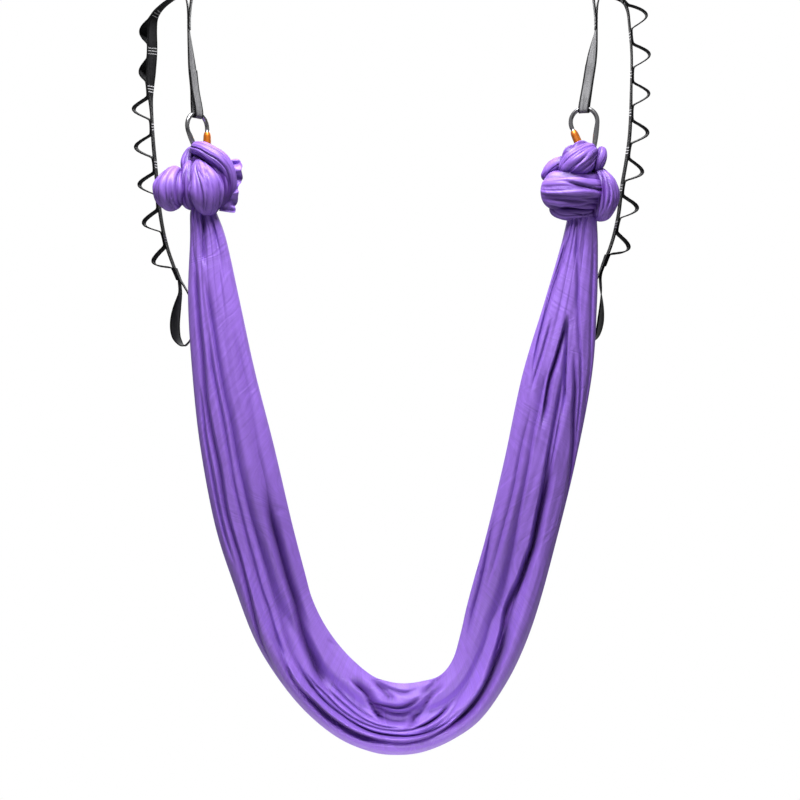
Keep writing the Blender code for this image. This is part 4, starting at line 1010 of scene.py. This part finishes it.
def strand_creases(count, turn, creases, deepest, chance):
    """How far a strand is sunk for its creases, and how it swells, as shares of its radius."""
    t = np.linspace(0, 1, count)[:, None]
    sunk = np.zeros((count, STRAND_POINTS))
    for number in range(creases):
        spot = math.tau * (number + chance.uniform(*CREASE_STRAY)) / creases
        drift = chance.uniform(*CREASE_DRIFT) * (t - 0.5)
        drift = drift + chance.uniform(*CREASE_SWAY) * np.sin(
            math.tau * (t * chance.uniform(*CREASE_SWAYS) + chance.uniform(0, 1)))
        gap = (turn - spot - drift + math.pi) % math.tau - math.pi
        gentle = chance.uniform(*CREASE_SLOPE)
        steep = gentle * chance.uniform(*CREASE_STEEP)
        if chance.uniform() < 0.5:
            gap = -gap
        reach = np.where(gap > 0, gentle, steep)
        form = np.clip(1 - np.abs(gap) / reach, 0, 1) ** STRAND_HOLLOW
        begin = chance.uniform(*CREASE_START)
        end = begin + chance.uniform(*CREASE_LENGTH)
        fade = ease((t - begin) / CREASE_FADE) * ease((end - t) / CREASE_FADE)
        sunk += form * fade * deepest * chance.uniform(*CREASE_SHARE)
    swell = np.sin(math.tau * (t * STRAND_SWELLS + chance.uniform(0, 1)) + 2 * turn)
    return sunk, 1 + STRAND_SWELL * swell


def creased_strand(points, creases, deepest, chance, others):
    """A strand of gathered cloth along (x, y, depth, radius) in pixels."""
    centres, radii = strand_line(points, STRAND_STEPS)
    count = len(centres)
    ahead = unit(np.gradient(centres, axis=0))
    across = np.zeros_like(ahead)
    axis = np.array((0.0, -1.0, 0.0))
    for i in range(count):
        axis = axis - ahead[i] * axis.dot(ahead[i])
        axis /= np.linalg.norm(axis)
        across[i] = axis
    other = np.cross(ahead, across)
    turn = np.linspace(0, math.tau, STRAND_POINTS, endpoint=False)[None, :]
    sunk, swell = strand_creases(count, turn, creases, deepest, chance)
    steps = np.minimum(np.arange(count), np.arange(count)[::-1])
    tip = np.minimum(1, steps / (STRAND_TIP * count))[:, None]
    round_end = np.sqrt(np.clip(1 - (1 - tip) ** 2, 0.004, 1))
    scale = radii[:, None] * (swell - np.minimum(sunk, STRAND_DEEPEST) * tip) * round_end
    ring = across[:, None] * np.cos(turn)[:, :, None] + other[:, None] * np.sin(turn)[:, :, None]
    rings = centres[:, None] + ring * scale[:, :, None]
    uv = np.stack(np.broadcast_arrays(turn * radii[:, None], gone(centres)[:, None]), axis=2)
    # Painted shade: in the strand's creases, in the crevices where it meets the other strands, and
    # on its underside.
    under = np.clip(-ring[:, :, 2], 0, 1) ** 1.5
    fold = (CREASE_SHADE * sunk * tip / deepest + CREVICE_SHADE * closeness(rings, others)
            + UNDERSIDE_SHADE * under)
    return grid_mesh("strand", rings, uv, closed=True, fold=fold)


def frill_mesh(chance):
    """The loose edge of the cloth beside the left knot, as a thin crinkled sheet."""
    t = np.linspace(0, 1, FRILL_ROWS)[:, None]
    s = np.linspace(0, 1, FRILL_POINTS)[None, :]

    def ripple(height, along, across):
        return height * np.sin(math.tau * (t * along + across * s))

    crinkle = ripple(1.9, 2.3, 0.35) * s + ripple(1.1, 4.7, -0.5)
    crinkle = crinkle + ripple(chance.uniform(0.3, 0.5), 8, 0.6) * s
    x, y = between(evenly(FRILL_INNER, FRILL_ROWS), evenly(FRILL_OUTER, FRILL_ROWS), s)
    x = x + (ripple(0.9, 3.2, 0) + ripple(0.4, 6.7, 0)) * s**2
    y = y + FRILL_IN_HEIGHT * crinkle * s**2
    sheets = []
    for side in (-FRILL_HALF_THICKNESS, FRILL_HALF_THICKNESS):
        depth = FRILL_DEPTH + FRILL_LEAN * s + FRILL_IN_DEPTH * crinkle + side
        sheets.append(place(x, y, depth * PIXEL))
    rings = np.concatenate([sheets[0], sheets[1][:, ::-1]], axis=1)
    uv = np.stack([lengths_along(rings, 1), lengths_along(rings, 0)], axis=2)
    # Painted shade where the crinkles lie furthest back.
    fold = np.concatenate([crinkle, crinkle[:, ::-1]], axis=1) * FRILL_IN_SHADE
    return grid_mesh("frill", rings, uv, closed=True, fold=fold)


def knot_mesh(side, seed):
    """One knot: its creased strands, and at the left the loose edge of the cloth."""
    chance = np.random.default_rng(seed)
    strands = LEFT_KNOT if side == "left" else RIGHT_KNOT
    lines = [points for _, _, points in strands]
    parts = []
    for creases, deepest, points in strands:
        others = [line for line in lines if line is not points]
        parts.append(creased_strand(points, creases, deepest, chance, others))
    if side == "left":
        parts.append(frill_mesh(chance))
    return joined_mesh(side + "_knot_cloth", parts)


def merged_copy(node):
    """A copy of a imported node's mesh whose triangles share their corners."""
    copy = bmesh.new()
    copy.from_mesh(bpy.data.objects[node].data)
    bmesh.ops.remove_doubles(copy, verts=copy.verts, dist=0.00001)
    copy.verts.ensure_lookup_table()
    return copy


def rings_from(neighbours, start):
    """The strip's corners in sets of four, ring by ring from an end, or None from anywhere else."""
    rings = [start]
    met = set(start)
    while len(met) < len(neighbours):
        ahead = set().union(*(neighbours[corner] for corner in rings[-1])) - met
        if len(ahead) != 4:
            return None
        rings.append(ahead)
        met |= ahead
    return rings


def strip_rings(strip):
    """The rings of a strip that ends in a face of four corners."""
    neighbours = [{edge.other_vert(vert).index for edge in vert.link_edges} for vert in strip.verts]
    for edge in strip.edges:
        start = {vert.index for face in edge.link_faces for vert in face.verts}
        rings = rings_from(neighbours, start) if len(start) == 4 else None
        if rings:
            return rings
    raise RuntimeError("a packed strip isn't made of four-cornered rings")


def strip_stations(node):
    """Where a packed strip passes: rows of its middle, width and face directions, top end first."""
    strip = merged_copy(node)
    rows = []
    last = None
    for ring in strip_rings(strip):
        corners = [strip.verts[corner].co for corner in ring]
        middle = sum(corners, Vector()) / 4
        a = corners[0]
        rest = sorted(corners[1:], key=lambda corner: (corner - a).length)
        face = (rest[0] - a).normalized()
        width = (rest[1] - a).normalized()
        if last:
            width = width * math.copysign(1, width.dot(last[0]))
            face = face * math.copysign(1, face.dot(last[1]))
        last = (width, face)
        rows.append([*middle, *width, *face])
    strip.free()
    rows = np.array(rows)
    if node.endswith("pockets") and rows[0, 2] < rows[-1, 2]:
        rows = rows[::-1]
    return rows


def squared(points, ahead, width, face):
    """Rows of points and directions, with width and face square to the way ahead."""
    width = unit(width - ahead * (width * ahead).sum(axis=1)[:, None])
    square = np.cross(ahead, width)
    square *= np.sign((square * face).sum(axis=1))[:, None]
    return np.hstack([points, width, square, ahead])


def smooth_rows(stations):
    """Rows close together on a curve that touches the middle of each straight run of the strip."""
    middles = (stations[1:] + stations[:-1]) / 2
    rows = []
    for i, here in enumerate(stations):
        before = middles[i - 1] if i else here
        after = middles[i] if i < len(middles) else here
        length = np.linalg.norm((here - before)[:3]) + np.linalg.norm((after - here)[:3])
        pieces = max(2, round(length / WEB_STEP))
        for t in np.arange(pieces) / pieces:
            rows.append((1 - t) ** 2 * before + 2 * t * (1 - t) * here + t * t * after)
    rows = np.array([*rows, stations[-1]])
    ahead = unit(np.gradient(rows[:, :3], axis=0))
    return squared(rows[:, :3], ahead, rows[:, 3:6], rows[:, 6:])


def rounded_pockets(rows, backbone):
    """Those rows of the pocket strip with rounder bows, unmoved where it lies on its backbone."""
    gaps = np.linalg.norm(rows[:, None, :3] - backbone[None, :, :3], axis=2)
    nearest = backbone[gaps.argmin(axis=1), :3]
    free = ease((gaps.min(axis=1) - BOW_START) / BOW_FADE)[:, None]
    window = np.hanning(BOW_ROWS + 2)[1:-1]
    window = window / window.sum()
    padded = np.pad(rows[:, :3], ((BOW_ROWS // 2,) * 2, (0, 0)), mode="edge")
    soft = np.stack([np.convolve(column, window, mode="valid") for column in padded.T], axis=1)
    soft = nearest + (soft - nearest) * BOW_REACH
    rows = rows.copy()
    rows[:, :3] += (soft - rows[:, :3]) * free
    rows[:, 9:12] = unit(np.gradient(rows[:, :3], axis=0))
    return rows


def turned_slack(rows):
    """Those rows with the slack part of the chain turned a little towards the front."""
    aside = rows[:, 0] - STRAP_MIDDLE_X
    slack = ease((np.abs(aside) - STRAP_REACH) / STRAP_FADE)
    slack = slack * ease((SLACK_TOP - rows[:, 2]) / SLACK_FADE)
    angle = math.radians(SLACK_TURN) * slack * np.sign(aside)
    x, y = rows[:, 3], rows[:, 4]
    width = np.stack([x * np.cos(angle) - y * np.sin(angle),
                      x * np.sin(angle) + y * np.cos(angle), rows[:, 5]], axis=1)
    return squared(rows[:, :3], rows[:, 9:12], width, rows[:, 6:9])


def web_mesh(name, rows, half_width, half_thickness):
    """A strip of webbing with rounded edges along those rows."""
    section = np.array(WEB_SECTION)[None]
    rings = (rows[:, None, :3] + rows[:, None, 3:6] * section[:, :, :1] * half_width
             + rows[:, None, 6:9] * section[:, :, 1:] * half_thickness)
    across = section[:, :, 0] * half_width
    uv = np.stack(np.broadcast_arrays(across, gone(rows[:, :3])[:, None]), axis=2)
    return joined_mesh(name, [grid_mesh("strip", rings, uv, closed=True)])


def strip_thickness(node):
    """A packed strip's thickness, which is its shortest edge."""
    strip = merged_copy(node)
    thickness = min(edge.calc_length() for edge in strip.edges)
    strip.free()
    return thickness


def tack_spans(stations):
    """The pairs of stations between which the pocket strip is sewn down."""
    first = len(stations) - POCKETS * STATIONS_PER_POCKET - FIRST_TACK_STATIONS
    last = first + FIRST_TACK_STATIONS - 1
    ends = [last + number * STATIONS_PER_POCKET for number in range(1, POCKETS + 1)]
    return [(0, 1), (first, first + 2), (last - 2, last)] + [(end - 1, end) for end in ends]


def stitch_guides(strips):
    """One edge across the webbing for each stripe of stitches, with two directions."""
    corners, faces, alongs = [], [], []
    for backbone, pockets, stations, half_width, half_thickness in strips:
        for low, high in tack_spans(stations):
            a, b = stations[low, :3], stations[high, :3]
            for share in STRIPE_SHARES:
                spot = a + (b - a) * share
                row = pockets[np.linalg.norm(pockets[:, :3] - spot, axis=1).argmin()]
                below = backbone[np.linalg.norm(backbone[:, :3] - spot, axis=1).argmin()]
                outwards = row[6:9] * np.sign(np.dot(row[:3] - below[:3], row[6:9]))
                thick = np.dot(row[:3] - below[:3], outwards) + half_thickness
                for lift, face in ((half_thickness, outwards), (-thick, -outwards)):
                    middle = row[:3] + outwards * lift
                    for end in (-STRIPE_WIDTH, STRIPE_WIDTH):
                        corners.append(middle + row[3:6] * half_width * end)
                        faces.append(face)
                        alongs.append(row[9:12])
    edges = [(i, i + 1) for i in range(0, len(corners), 2)]
    mesh = bpy.data.meshes.new("stitch_guides")
    mesh.from_pydata([tuple(corner) for corner in corners], edges, [])
    for name, values in (("face", faces), ("along", alongs)):
        layer = mesh.attributes.new(name, "FLOAT_VECTOR", "POINT")
        layer.data.foreach_set("vector", np.array(values, dtype=np.float32).ravel())
    return mesh


def stitch_tree(finish):
    """Stitches an equal step apart along each guide, each leaning a little its own way."""
    t = new_group("bar_tacks", "GeometryNodeTree", (
        ("Guides", "Geometry"), ("Spacing", "Float", 0.001), ("Length", "Float", 0.003),
        ("Thread", "Float", 0.001), ("Lean", "Float", 0.25), ("Seed", "Int", 0),
    ), (("Stitches", "Geometry"),))
    given = t.node("NodeGroupInput").outputs
    line = t.node("GeometryNodeMeshToCurve", Mesh=given["Guides"])
    spots = t.node("GeometryNodeResampleCurve", {"mode": "LENGTH"}, Curve=line.outputs["Curve"],
                   Length=given["Spacing"])
    face, along = (
        t.node("GeometryNodeInputNamedAttribute", {"data_type": "FLOAT_VECTOR"}, Name=name)
        for name in ("face", "along")
    )
    facing = t.node("FunctionNodeAxesToRotation", {"primary_axis": "Z", "secondary_axis": "X"},
                    Primary_Axis=face.outputs["Attribute"],
                    Secondary_Axis=along.outputs["Attribute"])
    chance = t.node("FunctionNodeRandomValue", {"data_type": "FLOAT"}, Seed=given["Seed"])
    t.feed(chance.inputs[2], t.maths("MULTIPLY", given["Lean"], -1))
    t.feed(chance.inputs[3], given["Lean"])
    lean = t.node("ShaderNodeCombineXYZ", Z=chance.outputs[1])
    leant = t.node("FunctionNodeEulerToRotation", Euler=lean.outputs[0])
    turned = t.node("FunctionNodeRotateRotation", {"rotation_space": "LOCAL"},
                    Rotation=facing.outputs["Rotation"], Rotate_By=leant.outputs["Rotation"])
    stitch = t.node("GeometryNodeMeshUVSphere", Segments=6, Rings=4, Radius=0.5)
    size = t.node("ShaderNodeCombineXYZ", X=given["Length"], Y=given["Thread"], Z=given["Thread"])
    sewn = t.node("GeometryNodeInstanceOnPoints", Points=spots.outputs["Curve"],
                  Instance=stitch.outputs["Mesh"], Rotation=turned.outputs["Rotation"],
                  Scale=size.outputs[0])
    real = t.node("GeometryNodeRealizeInstances", Geometry=sewn.outputs["Instances"])
    finished = t.node("GeometryNodeSetMaterial", Geometry=real.outputs["Geometry"], Material=finish)
    t.node("NodeGroupOutput", Stitches=finished.outputs["Geometry"])
    return t.tree


def smooth_metal(node, name, finish):
    """A rounder copy of a packed metal piece, with the edges that are sharp on it kept."""
    copy = merged_copy(node)
    bmesh.ops.join_triangles(copy, faces=copy.faces,
                             angle_face_threshold=math.radians(JOINED_FACES),
                             angle_shape_threshold=math.radians(JOINED_SHAPES))
    crease = copy.edges.layers.float.new("crease_edge")
    for edge in copy.edges:
        if len(edge.link_faces) == 2 and edge.calc_face_angle(0) > math.radians(SHARP_FORM):
            edge[crease] = 1
    mesh = bpy.data.meshes.new(name)
    copy.to_mesh(mesh)
    copy.free()
    piece = link(name, mesh, finish)
    rounder = piece.modifiers.new("rounder", "SUBSURF")
    rounder.levels = METAL_LEVELS
    rounder.render_levels = METAL_LEVELS
    flatten(piece)
    piece.data.shade_smooth()
    piece.data.set_sharp_from_angle(angle=math.radians(SHARP_SHADING))
    return piece


def seen_by(t, rays, seen, shaded):
    """One shader for the kinds of ray that are named, and another for all the rest."""
    path = t.node("ShaderNodeLightPath")
    which = path.outputs[rays[0]]
    for ray in rays[1:]:
        which = t.maths("MAXIMUM", which, path.outputs[ray])
    return t.fed("ShaderNodeMixShader", None, {0: which, 1: shaded, 2: seen}, 0)


class HAMMOCK_OT_stage(bpy.types.Operator):
    """Puts the camera where the photographer stood, with a pale floor and soft lamps"""

    bl_idname = "hammock.stage"
    bl_label = "Stage"

    def execute(self, context):
        scene = context.scene
        stage = scene.hammock_stage
        camera = bpy.data.cameras.new("camera")
        camera.sensor_width = SENSOR
        camera.lens = SENSOR * CAMERA_DISTANCE / (PIXEL * IMAGE_SIZE)
        scene.camera = added("camera", camera)
        scene.camera.location = (VIEW_X, -CAMERA_DISTANCE, VIEW_Z)
        scene.camera.rotation_euler = (math.radians(90), 0, 0)
        scene.view_settings.view_transform = "Standard"

        # The camera sees white, glossy surfaces show a dimmer room, and little light comes from it.
        scene.world = bpy.data.worlds.new("studio")
        scene.world.use_nodes = True
        scene.world.node_tree.nodes.clear()
        t = Tree(scene.world.node_tree)
        seen, shine, light = (
            t.node("ShaderNodeBackground", Color=WHITE, Strength=strength).outputs[0]
            for strength in (1, stage.shine, stage.sky)
        )
        unseen = seen_by(t, ("Is Glossy Ray",), shine, light)
        both = seen_by(t, ("Is Camera Ray", "Is Transmission Ray"), seen, unseen)
        t.node("ShaderNodeOutputWorld", Surface=both)

        for name, (spot, aim_z, size, spread) in LAMPS.items():
            data = bpy.data.lights.new(name, "AREA")
            data.size = size
            data.spread = math.radians(spread)
            data.energy = getattr(stage, name + "_power")
            lamp = added(name, data)
            lamp.location = spot
            aim = Vector((VIEW_X, 0, aim_z)) - lamp.location
            lamp.rotation_euler = aim.to_track_quat("-Z", "Y").to_euler()

        floor_z = CAD_BOX[0][2] - stage.floor_drop
        bpy.ops.mesh.primitive_plane_add(size=FLOOR_SIZE, location=(VIEW_X, 0, floor_z))
        floor = bpy.context.object
        floor.name = "floor"
        made, t, shader = new_material("pale_floor", Base_Color=(0.8, 0.8, 0.8, 1), Roughness=0.9)
        glow = t.node("ShaderNodeEmission", Color=WHITE, Strength=1)
        both = seen_by(t, ("Is Camera Ray",), glow.outputs[0], shader.outputs[0])
        t.feed(made.node_tree.nodes["Material Output"].inputs[0], both)
        floor.data.materials.append(made)
        return {"FINISHED"}


class HAMMOCK_OT_sling(bpy.types.Operator):
    """Hangs the gathered sheet between the knots"""

    bl_idname = "hammock.sling"
    bl_label = "Sling"

    def execute(self, context):
        points, uv, fold = sling_surface(context.scene.hammock_cloth.crease_depth)
        sling = link("sling_sheet", grid_mesh("sling_sheet", points, uv, fold=fold), tricot())
        dress(sling, "hammock", "purple_cloth", "sling_cloth")
        return {"FINISHED"}


class HAMMOCK_OT_knots(bpy.types.Operator):
    """Ties the cloth's ends round the two lower carabiners"""

    bl_idname = "hammock.knots"
    bl_label = "Knots"

    def execute(self, context):
        cloth = context.scene.hammock_cloth
        for number, side in enumerate(SIDES):
            knot = link(side + "_knot_cloth", knot_mesh(side, cloth.seed + number), tricot())
            dress(knot, "hammock", "purple_cloth", side + "_knot")
        sling = bpy.data.objects.get("sling_sheet")
        if sling is None:
            raise RuntimeError("hang the sling before its knots")
        return {"FINISHED"}


class HAMMOCK_OT_webbing(bpy.types.Operator):
    """Weaves the two daisy chains and sews their tacks"""

    bl_idname = "hammock.webbing"
    bl_label = "Webbing and stitches"

    def execute(self, context):
        webbing = context.scene.hammock_webbing
        half_width = WEB_WIDTH / 2
        strips = []
        for side in SIDES:
            rows = []
            for kind in ("backbone", "pockets"):
                node = f"{side}_chain_{kind}"
                stations = strip_stations(node)
                path = smooth_rows(stations)
                if rows:
                    path = rounded_pockets(path, rows[0])
                rows.append(turned_slack(path))
                half_thickness = strip_thickness(node) / 2 * WEB_FULLNESS
                mesh = web_mesh(node + "_web", rows[-1], half_width, half_thickness)
                dress(link(node + "_web", mesh, nylon()), "hammock", "black_webbing", node)
            strips.append((rows[0], rows[1], stations, half_width, half_thickness))
        finish = thread()
        stitches = link("chain_stitches", stitch_guides(strips), finish)
        sewing = stitches.modifiers.new("sewing", "NODES")
        sewing.node_group = stitch_tree(finish)
        values = {"Spacing": webbing.stitch_spacing, "Length": webbing.stitch_length,
                  "Thread": webbing.thread_width, "Lean": STITCH_LEAN, "Seed": webbing.seed}
        for item in sewing.node_group.interface.items_tree:
            if item.in_out == "INPUT" and item.name in values:
                sewing[item.identifier] = values[item.name]
        flatten(stitches)
        stitches.data.shade_smooth()
        if not stitches.data.polygons:
            raise RuntimeError("the tacks weren't sewn")
        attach(stitches, "hammock")
        return {"FINISHED"}


class HAMMOCK_OT_carabiners(bpy.types.Operator):
    """Polishes the four carabiners' bars and gates, and colours their sleeves"""

    bl_idname = "hammock.carabiners"
    bl_label = "Carabiners"

    def execute(self, context):
        steel, spring, orange = (metal(name) for name in METALS)
        for side in SIDES:
            for end in ENDS:
                prefix = f"{side}_{end}_"
                for kind, finish in (("rivet", steel), ("gate_spring", spring),
                                     ("gate_pusher", steel)):
                    for slot in bpy.data.objects[prefix + kind].material_slots:
                        slot.material = finish
                carrier = "ceiling_carabiners" if end == "ceiling" else "hammock"
                for kind, finish, body, slot in (
                    ("frame", steel, carrier, "polished_steel"),
                    ("gate", steel, prefix + "gate", "polished_steel"),
                    ("sleeve", orange, prefix + "sleeve", "orange_anodising"),
                ):
                    piece = smooth_metal(prefix + kind, prefix + kind + "_round", finish)
                    dress(piece, body, slot, prefix + kind)
        return {"FINISHED"}


class HAMMOCK_PT_panel(bpy.types.Panel):
    """The hammock's pieces and what can be changed on them"""

    bl_idname = "HAMMOCK_PT_panel"
    bl_label = "Aerial hammock"
    bl_space_type = "VIEW_3D"
    bl_region_type = "UI"
    bl_category = "Hammock"

    def draw(self, context):
        for label, owner, group, operators in PANEL_PARTS:
            box = self.layout.box()
            box.label(text=label)
            settings = getattr(context.scene, owner)
            for name in group.__annotations__:
                box.prop(settings, name)
            for operator in operators:
                box.operator(operator.bl_idname)


# Each part of the panel: its label, where the scene keeps its settings, and its operators.
PANEL_PARTS = (
    ("Stage", "hammock_stage", HAMMOCK_PG_stage, (HAMMOCK_OT_stage,)),
    ("Cloth", "hammock_cloth", HAMMOCK_PG_cloth, (HAMMOCK_OT_sling, HAMMOCK_OT_knots)),
    ("Webbing", "hammock_webbing", HAMMOCK_PG_webbing, (HAMMOCK_OT_webbing,)),
    ("Carabiners", "hammock_metal", HAMMOCK_PG_metal, (HAMMOCK_OT_carabiners,)),
)
CLASSES = (
    HAMMOCK_PG_cloth, HAMMOCK_PG_webbing, HAMMOCK_PG_metal, HAMMOCK_PG_stage, HAMMOCK_OT_stage,
    HAMMOCK_OT_sling, HAMMOCK_OT_knots, HAMMOCK_OT_webbing, HAMMOCK_OT_carabiners, HAMMOCK_PT_panel,
)


def register():
    for made in CLASSES:
        bpy.utils.register_class(made)
    for _, owner, group, _ in PANEL_PARTS:
        setattr(bpy.types.Scene, owner, bpy.props.PointerProperty(type=group))


def unregister():
    for _, owner, _, _ in reversed(PANEL_PARTS):
        delattr(bpy.types.Scene, owner)
    for made in reversed(CLASSES):
        bpy.utils.unregister_class(made)


def main():
    register()
    bpy.ops.hammock.stage()
    bpy.ops.hammock.sling()
    bpy.ops.hammock.knots()
    bpy.ops.hammock.webbing()
    bpy.ops.hammock.carabiners()


if __name__ == "__main__":
    main()
